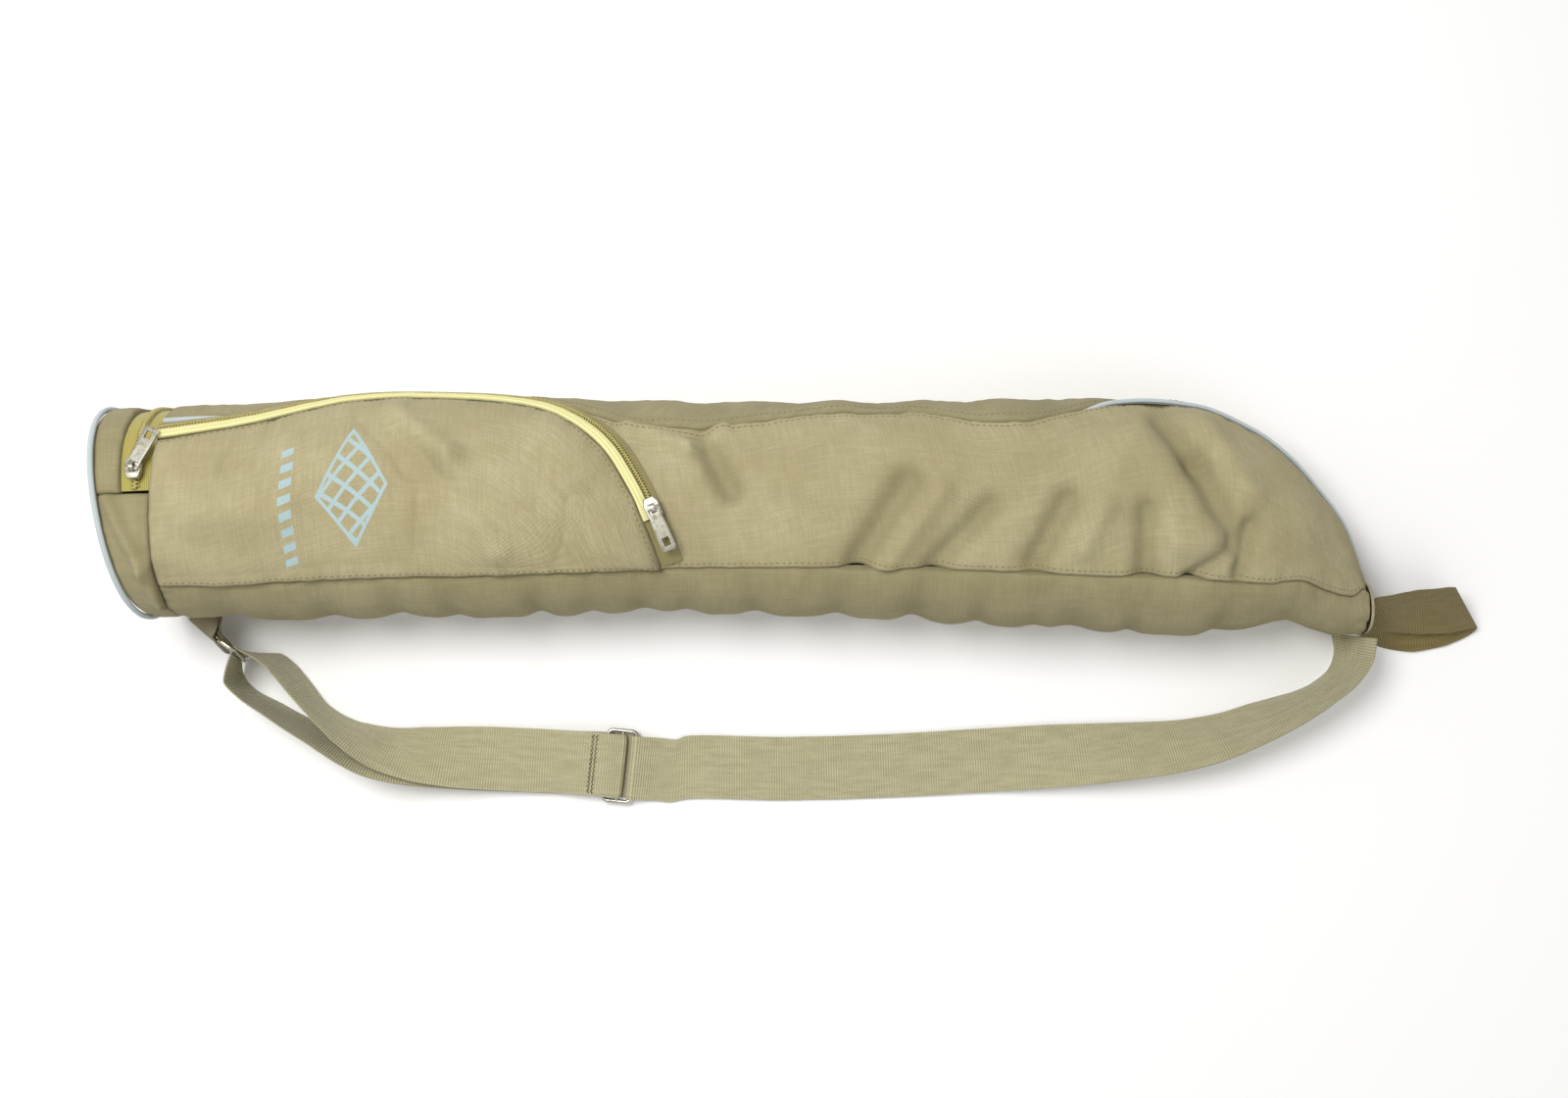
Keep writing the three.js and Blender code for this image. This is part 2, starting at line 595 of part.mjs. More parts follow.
// The front panel, the strip beyond it, the near band and the back
const pipingRoom = PIPING_RADIUS + 2 * SEAM_GAP;
const bodyEnd = 0.9975;
const farEnd = 0.98; // the strips beyond the piping stop short of the point
const frontFolds = (point) => foldHeight(point, FRONT_FOLDS);
addPiece(
  "front_panel",
  panel(
    between(seamLine(FRONT_SEAM), bodyStart, bodyEnd, pipingRoom),
    between(seamLine(LOWER_SEAM), bodyStart, bodyEnd, -SEAM_GAP / 2),
    STATIONS,
    7,
    { relief: frontFolds },
  ),
  COLOURS.canvas,
);

const zipUpperEdge = between(levelLine(MAIN_ZIP_ANGLE), bodyStart, farEnd, MAIN_ZIP_OPENING / 2);
const zipLowerEdge = between(levelLine(MAIN_ZIP_ANGLE), bodyStart, bodyEnd, -MAIN_ZIP_OPENING / 2);
const farTopLine = between(seamLine(FRONT_SEAM), bodyStart, farEnd, -pipingRoom);
const stripTop = (p) => {
  const [top, edge] = [farTopLine(p), zipUpperEdge(p)];
  return { at: top.at, angle: Math.max(top.angle, edge.angle + 1.5) };
};
addPiece("top_strip", panel(zipUpperEdge, stripTop, STATIONS, 2, {}), COLOURS.canvas);
addPiece(
  "zip_flap",
  panel(
    zipLowerEdge,
    between(levelLine(BACK_FAR_ANGLE - 360), bodyStart, bodyEnd, SEAM_GAP / 2),
    STATIONS,
    2,
    {},
  ),
  COLOURS.canvas,
);
addPiece(
  "near_band",
  panel(
    between(seamLine(LOWER_SEAM), bodyStart, bodyEnd, SEAM_GAP / 2),
    between(levelLine(BACK_NEAR_ANGLE), bodyStart, bodyEnd, -SEAM_GAP / 2),
    STATIONS,
    4,
    { relief: (point, place, q) => puckerHeight(place.at, q) },
  ),
  COLOURS.canvas,
);
addPiece(
  "back_panel",
  panel(
    between(levelLine(BACK_NEAR_ANGLE), bodyStart, bodyEnd, SEAM_GAP / 2),
    between(levelLine(BACK_FAR_ANGLE), bodyStart, bodyEnd, -SEAM_GAP / 2),
    STATIONS,
    4,
    {},
  ),
  COLOURS.canvas,
);

// The closing patch at the pointed end
const TIP_SIDES = 16;
const tipOutline = Array.from({ length: TIP_SIDES }, (_, i) => {
  const p = bodyPoint(bodyEnd, (360 * i) / TIP_SIDES);
  return vec(p.x + 2 * SEAM_GAP, p.y, p.z);
});
addPiece("tip_patch", plate(tipOutline, vec(CLOTH, 0, 0), vec(1, 0, 0)), COLOURS.canvas);

// The piping along the front panel's far seam
function pipingPath() {
  const count = 64;
  const points = Array.from({ length: count + 1 }, (_, i) => {
    const at = mix(bodyStart + 0.002, bodyEnd - 0.004, i / count);
    const angle = readTable(FRONT_SEAM, "angle", at);
    const rise = readTable(PIPING_RISE, "rise", at) * PIPING_RADIUS;
    return bodyPoint(at, angle).addScaledVector(bodyNormal(at, angle), rise);
  });
  return new THREE.CatmullRomCurve3(points);
}
const pipingShape = new THREE.Shape().absarc(0, 0, PIPING_RADIUS, 0, 2 * Math.PI);
addPiece(
  "edge_piping",
  new THREE.ExtrudeGeometry(pipingShape, {
    steps: STATIONS,
    curveSegments: 3,
    extrudePath: pipingPath(),
  }),
  COLOURS.piping,
);

const MAIN_ZIP_STEPS = 50;
const POCKET_ZIP_STEPS = 30;

// The main zip: up round the base, a bend, then along the far side
const zipDegree = bodySlopes(zipAt, 30).round.length();
const ZIP_START_ANGLE = END_SEAM_ANGLE - 1.5;
const zipRise = (ZIP_START_ANGLE - MAIN_ZIP_ANGLE) * zipDegree - ZIP_TURN_RADIUS;
const zipBend = (Math.PI / 2) * ZIP_TURN_RADIUS;
const zipRun = (MAIN_ZIP_END - zipAt) * BAG_LENGTH - ZIP_TURN_RADIUS;

function mainZipAt(distance) {
  const around = THREE.MathUtils.clamp((distance - zipRise) / ZIP_TURN_RADIUS, 0, Math.PI / 2);
  const straight = Math.max(0, distance - zipRise - zipBend);
  const lengthwise = ZIP_TURN_RADIUS * (1 - Math.cos(around)) + straight;
  const down = Math.min(distance, zipRise) + ZIP_TURN_RADIUS * Math.sin(around);
  return { at: zipAt + lengthwise / BAG_LENGTH, angle: ZIP_START_ANGLE - down / zipDegree };
}

// Shares of the path's stations that the rise and the bend take
const [RISE_SHARE, BEND_SHARE] = [0.16, 0.12];
function mainZipPath(p) {
  const bent = RISE_SHARE + BEND_SHARE;
  if (p < RISE_SHARE) return mainZipAt((zipRise * p) / RISE_SHARE);
  if (p < bent) return mainZipAt(zipRise + (zipBend * (p - RISE_SHARE)) / BEND_SHARE);
  return mainZipAt(zipRise + zipBend + (zipRun * (p - bent)) / (1 - bent));
}
const tapeTop = -CLOTH - 2 * CLEAR;
addPiece(
  "main_zip_tape",
  strip(mainZipPath, MAIN_ZIP_STEPS, {
    from: -ZIP_TAPE_HALF,
    to: ZIP_TAPE_HALF,
    bottom: tapeTop - ZIP_TAPE_THICK,
    top: tapeTop,
  }),
  COLOURS.trim,
);
const coilBottom = tapeTop + CLEAR;
addPiece(
  "main_zip_coil",
  strip(mainZipPath, MAIN_ZIP_STEPS, {
    from: -ZIP_COIL_WIDTH / 2,
    to: ZIP_COIL_WIDTH / 2,
    bottom: coilBottom,
    top: coilBottom + ZIP_COIL_THICK,
  }),
  COLOURS.coil,
);

// The pocket with its zip
const pocketZipPath = (p) => {
  const spread = POCKET_ZIP.map((row, i) => ({ ...row, step: i / (POCKET_ZIP.length - 1) }));
  return {
    at: readTable(spread, "at", p, "step"),
    angle: readTable(spread, "angle", p, "step"),
  };
};
const trimHalf = POCKET_TRIM_WIDTH / 2;
const pocketTop = (p) => besidePath(surfaceFrame(pocketZipPath, p), trimHalf + CLEAR);
const pocketFoot = (p) => {
  const at = mix(POCKET_ZIP[0].at, POCKET_ZIP.at(-1).at - 0.006, p);
  return shifted(seamLine(LOWER_SEAM)(at), 0, -1);
};
const pocketRelief = (point, place, q) => {
  const puff = POCKET_PUFF * Math.sin(Math.PI * Math.min(1, q * 1.1)) ** 0.7;
  return Math.max(0, puff + foldHeight(point, POCKET_FOLDS));
};
addPiece(
  "pocket_panel",
  panel(pocketTop, pocketFoot, 34, 7, {
    outside: POCKET_EASE + CLOTH,
    relief: pocketRelief,
  }),
  COLOURS.canvas,
);
addPiece(
  "pocket_zip_tape",
  strip(pocketZipPath, POCKET_ZIP_STEPS, {
    from: -POCKET_TAPE_EDGE,
    to: trimHalf,
    bottom: POCKET_EASE,
    top: POCKET_EASE + ZIP_TAPE_THICK,
  }),
  COLOURS.tape,
);
const shortZip = (p) => pocketZipPath(p * POCKET_SLIDER_AT);
const trimBottom = POCKET_EASE + ZIP_TAPE_THICK + CLEAR;
addPiece(
  "pocket_zip_trim",
  strip(shortZip, POCKET_ZIP_STEPS, { from: -trimHalf, to: trimHalf, bottom: trimBottom, top: trimBottom + 1.8 }),
  COLOURS.trim,
);
addPiece(
  "pocket_zip_coil",
  strip(shortZip, POCKET_ZIP_STEPS, {
    from: -trimHalf - CLEAR - POCKET_COIL_WIDTH,
    to: -trimHalf - CLEAR,
    bottom: trimBottom,
    top: trimBottom + 1.6,
  }),
  COLOURS.coil,
);

// Webbing and straight-sided strips of it: a flat section carried through stations,
// each with its middle and the direction of its width.
function ribbon(stations) {
  const half = WEBBING_WIDTH / 2;
  return slab(stations.length - 1, 1, (p, q, side) => {
    const i = Math.round(p * (stations.length - 1));
    const before = stations[Math.max(0, i - 1)].middle;
    const after = stations[Math.min(stations.length - 1, i + 1)].middle;
    const { middle, width } = stations[i];
    const normal = after.clone().sub(before).cross(width).normalize();
    return middle
      .clone()
      .addScaledVector(width, mix(-half, half, q))
      .addScaledVector(normal, (side - 0.5) * WEBBING_THICK);
  });
}

// Fills in stations on a smooth curve, none further apart than the given step.
function filled(stations, step) {
  const curve = new THREE.CatmullRomCurve3(stations.map((s) => s.middle), false, "centripetal");
  const spans = stations.length - 1;
  return stations.flatMap((station, i) => {
    if (i === spans) return [station];
    const next = stations[i + 1];
    const parts = Math.ceil(station.middle.distanceTo(next.middle) / step);
    return Array.from({ length: parts }, (_, k) => ({
      middle: curve.getPoint((i + k / parts) / spans),
      width: station.width.clone().lerp(next.width, k / parts).normalize(),
    }));
  });
}

// Stations of a run of strap. The webbing is tilted about its middle: across and
// up are the signs of its width's parts to the right of the run and upwards.
function runStations(rows, across, up) {
  const middles = rows.map((row) => {
    const lean = rad(row.tilt);
    const resting = (WEBBING_WIDTH * Math.sin(lean) + WEBBING_THICK * Math.cos(lean)) / 2;
    const height = Math.max(row.rise * WEBBING_WIDTH, resting + 0.8);
    return vec(row.along * BAG_LENGTH, -row.out * STRAP_REACH, height);
  });
  return rows.map((row, i) => {
    const before = middles[Math.max(0, i - 1)];
    const after = middles[Math.min(rows.length - 1, i + 1)];
    const right = vec(after.y - before.y, before.x - after.x, 0).normalize();
    const width = right.multiplyScalar(across * Math.cos(rad(row.tilt)));
    return { middle: middles[i], width: width.add(vec(0, 0, up * Math.sin(rad(row.tilt)))) };
  });
}

// Places on a circle round a bar, from one angle to another.
function wrapStations(centre, axis, e1, e2, from, to, count, width = axis) {
  return Array.from({ length: count + 1 }, (_, i) => {
    const angle = rad(mix(from, to, i / count));
    return {
      middle: centre
        .clone()
        .addScaledVector(e1, WRAP_RADIUS * Math.cos(angle))
        .addScaledVector(e2, WRAP_RADIUS * Math.sin(angle)),
      width: width.clone(),
    };
  });
}
const WRAP_RADIUS = WIRE / 2 + CLEAR + WEBBING_THICK / 2;
const slotLength = WEBBING_WIDTH + 2 * WEBBING_PLAY;

// A flat wire frame with one slot or more side by side, bars along Y
function wireFrame(slots, gap) {
  const pitch = gap + WIRE;
  const [halfX, halfY] = [(slots * pitch) / 2, slotLength / 2];
  const corner = WIRE;
  const box = (x0, x1, y, r, Kind) => {
    const shape = new Kind();
    shape.moveTo(x0 + r, -y).lineTo(x1 - r, -y).absarc(x1 - r, -y + r, r, -Math.PI / 2, 0);
    shape.lineTo(x1, y - r).absarc(x1 - r, y - r, r, 0, Math.PI / 2);
    shape.lineTo(x0 + r, y).absarc(x0 + r, y - r, r, Math.PI / 2, Math.PI);
    shape.lineTo(x0, -y + r).absarc(x0 + r, -y + r, r, Math.PI, 1.5 * Math.PI);
    return shape;
  };
  const rim = WIRE / 2 - WIRE_BEVEL;
  const outer = box(-halfX - rim, halfX + rim, halfY + WIRE - WIRE_BEVEL, corner, THREE.Shape);
  for (let k = 0; k < slots; k += 1) {
    const x0 = -halfX + k * pitch + WIRE / 2 - WIRE_BEVEL;
    outer.holes.push(box(x0, x0 + gap + 2 * WIRE_BEVEL, halfY + WIRE_BEVEL, 1.2, THREE.Path));
  }
  return new THREE.ExtrudeGeometry(outer, {
    depth: WIRE - 2 * WIRE_BEVEL,
    bevelThickness: WIRE_BEVEL,
    bevelSize: WIRE_BEVEL,
    bevelSegments: 1,
    curveSegments: 2,
  }).translate(0, 0, -WIRE / 2 + WIRE_BEVEL);
}

// The ring stands on its end, leaning towards the bag
const ringTurn = rad(RING_AT.turn);
const ringShort = vec(Math.cos(ringTurn), Math.sin(ringTurn), 0);
const ringLong = vec(-ringShort.y, ringShort.x, 0)
  .multiplyScalar(Math.sin(rad(RING_AT.lean)))
  .add(vec(0, 0, Math.cos(rad(RING_AT.lean))));
const ringAcross = ringShort;
const ringReach = slotLength / 2 + WIRE;
const ringMiddle = vec(
  RING_AT.along * BAG_LENGTH,
  -RING_AT.out * STRAP_REACH,
  ringReach * Math.cos(rad(RING_AT.lean)) + WIRE / 2,
);
const ring = addPiece("strap_ring", wireFrame(1, RING_GAP), COLOURS.metal, true);
ring.setRotationFromMatrix(new THREE.Matrix4().makeBasis(ringAcross, ringLong, ringAcross.clone().cross(ringLong)));
ring.position.copy(ringMiddle);
const barOffset = (RING_GAP + WIRE) / 2;
const tabBar = ringMiddle.clone().addScaledVector(ringAcross, -barOffset);
const strapBar = ringMiddle.clone().addScaledVector(ringAcross, barOffset);
const planX = vec(1, 0, 0).addScaledVector(ringLong, -ringLong.x).normalize();
const planY = ringLong.clone().cross(planX);

// The tab that holds the ring, folded round its inner bar
const TAB_ROOT = { along: -0.459, out: 0.966, rise: 0.47 }; // out is a share of half the bag's width
const tabRoot = vec(
  TAB_ROOT.along * BAG_LENGTH,
  (-TAB_ROOT.out * BAG_WIDTH) / 2,
  TAB_ROOT.rise * WEBBING_WIDTH,
);
const tabRun = tabBar.clone().sub(tabRoot).setZ(0).normalize();
const tabHeading = THREE.MathUtils.radToDeg(Math.atan2(tabRun.y, tabRun.x));
const tabWidth = vec(0.72, 0.1, 0.68).normalize();
const tabSide = vec(-tabRun.y, tabRun.x, 0);
const tabPly = (sign) => ({
  middle: tabRoot.clone().addScaledVector(tabSide, (sign * (WEBBING_THICK + CLEAR)) / 2),
  width: tabWidth.clone(),
});
const besideTabBar = (sign) => ({
  middle: tabBar
    .clone()
    .addScaledVector(tabSide, sign * WRAP_RADIUS)
    .addScaledVector(tabRun, -WIRE * 1.5),
  width: ringLong.clone(),
});
const tabStations = [
  tabPly(-1),
  besideTabBar(-1),
  ...wrapStations(tabBar, ringLong, planX, planY, tabHeading - 90, tabHeading + 90, 6),
  besideTabBar(1),
  tabPly(1),
];
addPiece("strap_tab", ribbon(filled(tabStations, 5)), COLOURS.webbingDark);

// The strap adjuster, flat on the strap
const adjusterTurn = rad(ADJUSTER_AT.turn);
const lowerPly = WEBBING_THICK / 2 + 0.05;
const adjusterMiddle = vec(
  ADJUSTER_AT.along * BAG_LENGTH,
  -ADJUSTER_AT.out * STRAP_REACH,
  lowerPly + WEBBING_THICK + CLEAR + WRAP_RADIUS,
);
const adjuster = addPiece("strap_adjuster", wireFrame(2, ADJUSTER_PITCH - WIRE), COLOURS.metal, true);
adjuster.rotation.z = adjusterTurn;
adjuster.position.copy(adjusterMiddle);

// The strap's route through the adjuster: x along it, z from its middle height
const strapOn = vec(Math.cos(adjusterTurn), Math.sin(adjusterTurn), 0);
const strapFar = vec(-Math.sin(adjusterTurn), Math.cos(adjusterTurn), 0);
const inAdjuster = (x, z, width) => ({
  middle: adjusterMiddle.clone().addScaledVector(strapOn, x).add(vec(0, 0, z)),
  width: width.clone(),
});
const aroundBar = (x, from, to, count, width) => {
  const bar = adjusterMiddle.clone().addScaledVector(strapOn, x);
  return wrapStations(bar, strapFar, strapOn, vec(0, 0, 1), from, to, count, width);
};
const plyStep = WEBBING_THICK + CLEAR;
const floorLevel = lowerPly - adjusterMiddle.z;
const SEWN_END = 19; // from the adjuster's middle to the end of the sewn fold
const sewnEnd = [
  inAdjuster(-SEWN_END, WRAP_RADIUS, strapFar),
  ...aroundBar(-ADJUSTER_PITCH, 90, 50, 2, strapFar),
  ...aroundBar(0, 230, 450, 7, strapFar),
  inAdjuster(-ADJUSTER_PITCH, WRAP_RADIUS + plyStep, strapFar),
  inAdjuster(-SEWN_END, WRAP_RADIUS + plyStep, strapFar),
];
const throughSlot = [
  inAdjuster(-ADJUSTER_PITCH - 2, floorLevel, strapFar),
  inAdjuster(1, floorLevel, strapFar),
  inAdjuster(ADJUSTER_PITCH / 2, floorLevel + 0.6, strapFar),
  inAdjuster(ADJUSTER_PITCH - WRAP_RADIUS - 0.4, floorLevel + 2.1, strapFar),
  ...aroundBar(ADJUSTER_PITCH, 180, 62, 5, strapFar),
  inAdjuster(ADJUSTER_PITCH + 6, floorLevel + 4.2, strapFar),
  inAdjuster(ADJUSTER_PITCH + 14, floorLevel + 1.2, strapFar),
  inAdjuster(ADJUSTER_PITCH + 24, floorLevel, strapFar),
];
const strapRoute = [
  ...sewnEnd,
  ...runStations(UPPER_RUN, 1, 1),
  ...wrapStations(strapBar, ringLong, planX, planY, 72, 205, 6),
  ...runStations(LOWER_RUN, -1, 1),
  ...throughSlot,
  ...runStations(RIGHT_RUN, -1, -1),
];
addPiece("strap", ribbon(filled(strapRoute, 17)), COLOURS.webbing);

// The hang loop, a folded length of webbing standing out of the pointed end
// Its middle line and the direction of its width: the upper ply, the fold, then
// the lower ply, which lies almost flat until it turns up into the seam.
const LOOP_PLIES = [
  { out: 0.0, aside: 0.0, rise: 0.62, width: [0.02, -0.5, -0.86] },
  { out: 0.23, aside: 0.0, rise: 0.62, width: [0.1, -0.6, -0.79] },
  { out: 0.49, aside: 0.01, rise: 0.6, width: [0.25, -0.7, -0.67] },
  { out: 0.74, aside: 0.02, rise: 0.54, width: [0.42, -0.7, -0.58] },
  { out: 0.92, aside: 0.045, rise: 0.44, width: [0.52, -0.66, -0.54] },
  { out: 1.0, aside: 0.04, rise: 0.35, width: [0.54, -0.65, -0.53] },
  { out: 0.96, aside: 0.0, rise: 0.25, width: [0.54, -0.7, -0.46] },
  { out: 0.76, aside: -0.06, rise: 0.17, width: [0.38, -0.88, -0.28] },
  { out: 0.5, aside: -0.1, rise: 0.16, width: [0.2, -0.95, -0.24] },
  { out: 0.24, aside: -0.1, rise: 0.26, width: [0.1, -0.82, -0.56] },
  { out: 0.07, aside: -0.08, rise: 0.44, width: [0.05, -0.6, -0.8] },
  { out: 0.0, aside: -0.065, rise: 0.55, width: [0.02, -0.5, -0.86] },
];
const loopRoot = vec(BAG_LENGTH / 2 + CLOTH + 1.2, -0.94 * (BAG_WIDTH / 2), 0);
const loopStations = LOOP_PLIES.map((row) => ({
  middle: loopRoot
    .clone()
    .add(vec(row.out * HANG_LOOP_REACH, row.aside * HANG_LOOP_REACH, row.rise * WEBBING_WIDTH)),
  width: vec(...row.width).normalize(),
}));
const hangLoop = addPiece("hang_loop", ribbon(filled(loopStations, 6)), COLOURS.webbingDark);
// Its lowest corner rests on the surface
hangLoop.position.z -= new THREE.Box3().setFromObject(hangLoop, true).min.z;

// A zip slider: a body with a bail on top, in which the puller's cross bar turns
function joined(first, second) {
  const [a, b] = [first, second].map((geometry) => {
    const bare = new THREE.BufferGeometry();
    const flat = geometry.index ? geometry.toNonIndexed() : geometry;
    bare.setAttribute("position", flat.getAttribute("position"));
    const merged = mergeVertices(bare, 1e-4);
    return new wasm.Manifold(
      new wasm.Mesh({
        numProp: 3,
        vertProperties: merged.attributes.position.array,
        triVerts: new Uint32Array(merged.index.array),
      }),
    );
  });
  const mesh = a.add(b).getMesh();
  const geometry = new THREE.BufferGeometry();
  geometry.setAttribute("position", new THREE.BufferAttribute(mesh.vertProperties, 3));
  return geometry.setIndex(new THREE.BufferAttribute(mesh.triVerts, 1));
}

const crossBar = PULLER_THICK * 1.15;
const crossBarReach = Math.hypot(crossBar, PULLER_THICK) / 2;
const hingeHeight = crossBarReach + CLEAR;
const bailRadius = Math.max(BAIL_INNER_RADIUS, crossBarReach + CLEAR);
const bailOuter = bailRadius + BAIL_THICK;

function sliderGeometry() {
  const [l, w] = [SLIDER_LENGTH / 2, SLIDER_WIDTH / 2];
  const plan = new THREE.Shape();
  plan.moveTo(-l, -w * 0.62).lineTo(-l * 0.4, -w).lineTo(l * 0.75, -w).lineTo(l, -w * 0.7);
  plan.lineTo(l, w * 0.7).lineTo(l * 0.75, w).lineTo(-l * 0.4, w).lineTo(-l, w * 0.62);
  const bevel = 0.5;
  const body = new THREE.ExtrudeGeometry(plan, {
    depth: SLIDER_HEIGHT - 2 * bevel,
    bevelThickness: bevel,
    bevelSize: bevel,
    bevelOffset: -bevel,
    bevelSegments: 1,
  }).translate(0, 0, bevel);
  const arch = new THREE.Shape();
  arch.moveTo(bailOuter, -bevel).lineTo(bailOuter, hingeHeight);
  arch.absarc(0, hingeHeight, bailOuter, 0, Math.PI).lineTo(-bailOuter, -bevel);
  arch.lineTo(-bailRadius, -bevel).lineTo(-bailRadius, hingeHeight);
  arch.absarc(0, hingeHeight, bailRadius, Math.PI, 0, true).lineTo(bailRadius, -bevel);
  const bail = new THREE.ExtrudeGeometry(arch, { depth: BAIL_WIDTH, bevelEnabled: false, curveSegments: 6 })
    .translate(0, 0, -BAIL_WIDTH / 2)
    .rotateX(Math.PI / 2)
    .translate(0, 0, SLIDER_HEIGHT);
  return joined(body, bail);
}

// The puller's tab in its own frame: hinge axis along Y through the origin
function pullerGeometry() {
  const [w, root] = [PULLER_WIDTH / 2, crossBar / 2];
  const eye = BAIL_WIDTH / 2 + bailOuter * Math.sin(rad(Math.abs(END_PULLER_TURN))) + CLEAR;
  const outline = new THREE.Shape();
  outline.moveTo(-root, -w * 0.9).lineTo(PULLER_LENGTH * 0.25, -w * 0.9);
  outline.lineTo(PULLER_LENGTH * 0.5, -w).lineTo(PULLER_LENGTH - 2, -w);
  outline.absarc(PULLER_LENGTH - 2, -w + 2, 2, -Math.PI / 2, 0);
  outline.absarc(PULLER_LENGTH - 2, w - 2, 2, 0, Math.PI / 2);
  outline.lineTo(PULLER_LENGTH * 0.5, w).lineTo(PULLER_LENGTH * 0.25, w * 0.9).lineTo(-root, w * 0.9);
  const opening = (x0, x1, half) => {
    const path = new THREE.Path();
    path.moveTo(x0, -half).lineTo(x1, -half).lineTo(x1, half).lineTo(x0, half).closePath();
    return path;
  };
  outline.holes.push(opening(root, bailOuter + 2 * CLEAR, eye));
  outline.holes.push(opening(PULLER_LENGTH * 0.7, PULLER_LENGTH * 0.9, w * 0.5));
  return new THREE.ExtrudeGeometry(outline, { depth: PULLER_THICK, bevelEnabled: false, curveSegments: 4 })
    .translate(0, 0, -PULLER_THICK / 2);
}

const PULLER_DIP = 3; // degrees that the tab hangs below the slider's top
function addSlider(name, frame, lateral, level, turn) {
  const place = besidePath(frame, lateral);
  const origin = bodyPoint(place.at, place.angle).addScaledVector(frame.normal, level);
  const group = new THREE.Group();
  const across = frame.normal.clone().cross(frame.along);
  group.setRotationFromMatrix(new THREE.Matrix4().makeBasis(frame.along, across, frame.normal));
  group.position.copy(origin);
  const slider = new THREE.Mesh(sliderGeometry(), material(COLOURS.metal, true));
  slider.name = name + "_slider";
  const puller = new THREE.Mesh(pullerGeometry(), material(COLOURS.metal, true));
  puller.name = name + "_puller";
  puller.position.z = SLIDER_HEIGHT + hingeHeight;
  puller.rotation.set(0, rad(PULLER_DIP), rad(turn), "ZYX");
  group.add(slider, puller);
  model.add(group);
}
const END_SLIDER_AT = 10; // from the start of the main zip
const endFrame = surfaceFrame((p) => mainZipAt(END_SLIDER_AT + p), 0.5);
addSlider("end_zip", endFrame, 0, coilBottom + ZIP_COIL_THICK + 2 * CLEAR, END_PULLER_TURN);
const pocketFrame = surfaceFrame(pocketZipPath, POCKET_SLIDER_AT - 0.02);
const pocketCoilMiddle = -trimHalf - CLEAR - POCKET_COIL_WIDTH / 2;
addSlider("pocket_zip", pocketFrame, pocketCoilMiddle, trimBottom + 1.8 + 2 * CLEAR, 0);

// The origin is the middle of the whole piece's box, on the surface it lies on
const bounds = new THREE.Box3().setFromObject(model, true);
const centre = bounds.getCenter(new THREE.Vector3());
model.position.set(-centre.x, -centre.y, -bounds.min.z);

export default bag;
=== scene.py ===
"""A yoga mat bag lying on its back panel: cotton canvas, zips, piping, webbing and wire.
Measures are in millimetres unless a name says otherwise, and meshes are made in metres.
x runs along the bag, z up, and "at" is a share of the bag's length from its round base."""
import math
import bpy
import numpy as np
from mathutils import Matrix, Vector


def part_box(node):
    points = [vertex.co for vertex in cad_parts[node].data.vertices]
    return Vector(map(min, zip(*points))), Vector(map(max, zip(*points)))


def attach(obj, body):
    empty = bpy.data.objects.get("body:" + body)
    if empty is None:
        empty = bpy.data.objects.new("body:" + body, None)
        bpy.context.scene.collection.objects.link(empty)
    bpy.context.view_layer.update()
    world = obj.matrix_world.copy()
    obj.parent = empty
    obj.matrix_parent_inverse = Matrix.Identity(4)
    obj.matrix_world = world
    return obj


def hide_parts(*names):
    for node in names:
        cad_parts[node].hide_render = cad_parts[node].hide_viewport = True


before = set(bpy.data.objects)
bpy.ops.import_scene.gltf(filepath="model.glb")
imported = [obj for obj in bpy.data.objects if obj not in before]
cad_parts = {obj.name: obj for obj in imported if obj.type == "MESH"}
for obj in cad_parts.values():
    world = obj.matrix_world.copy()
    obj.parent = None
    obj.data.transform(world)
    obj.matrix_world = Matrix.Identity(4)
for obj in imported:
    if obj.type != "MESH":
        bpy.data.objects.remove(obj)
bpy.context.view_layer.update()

# Sizes of the bag, the same as in the solids
BAG_LENGTH, BAG_WIDTH, BAG_HEIGHT = 716.0, 125.0, 108.0
CLOTH, SEAM_GAP, BASE_SKEW, END_BAND_WIDTH = 2.0, 0.35, 0.18, 26.8
PIPING_RADIUS, MAIN_ZIP_OPENING = 1.6, 15.0
CLEAR = 0.35

# The smooth body: a table of sections read by a monotone curve, as shares of the
# bag's half width and height, and the seam lines as angles round the section.
SECTIONS = {
    "at": [0, .05, .1, .2, .3, .42, .5, .6, .7, .8, .85, .9, .93, .955, .98, 1],
    "far": [.96, .992, 1.008, 1.08, 1.072, 1.032, 1.024, 1.024, 1.048, 1.048, .992, .768, .528, .24, -.12, -.72],
    "near": [-.96, -.96, -.992, -.976, -.968, -.93, -.944, -.992, -1.056, -1.128, -1.136, -1.064, -.99, -1.08,
             -1.15, -1.14],
    "top": [1, 1, .98, .963, .954, .926, .926, .935, .944, .926, .898, .815, .74, .63, .52, .41],
    "under": [0, 0, 0, 0, 0, 0, 0, 0, 0, 0, 0, 0, 0, .01, .04, .08],
}
ROUNDNESS, WIDEST_AT, FLATTENED = 2.2, 0.45, 1.1
FRONT_SEAM = {
    "at": [0, .06, .1, .14, .18, .23, .3, .33, .354, .389, .419, .45, .496, .572, .618, .649, .679, .71, .74,
           .782, .822, .86, 1],
    "angle": [39, 37, 29, 20, 12, 8, 9, 18, 29, 42, 48, 47.5, 42.6, 31.5, 31.5, 36.5, 42.6, 42, 35.4, 21, 14, 12, 12],
}
LOWER_SEAM = {
    "at": [0, .05, .102, .149, .3, .451, .602, .752, .829, .908, .951, .98, 1],
    "angle": [134, 132, 129, 127.5, 125.4, 123, 119.8, 118.7, 118, 121.7, 116, 104, 50],
}
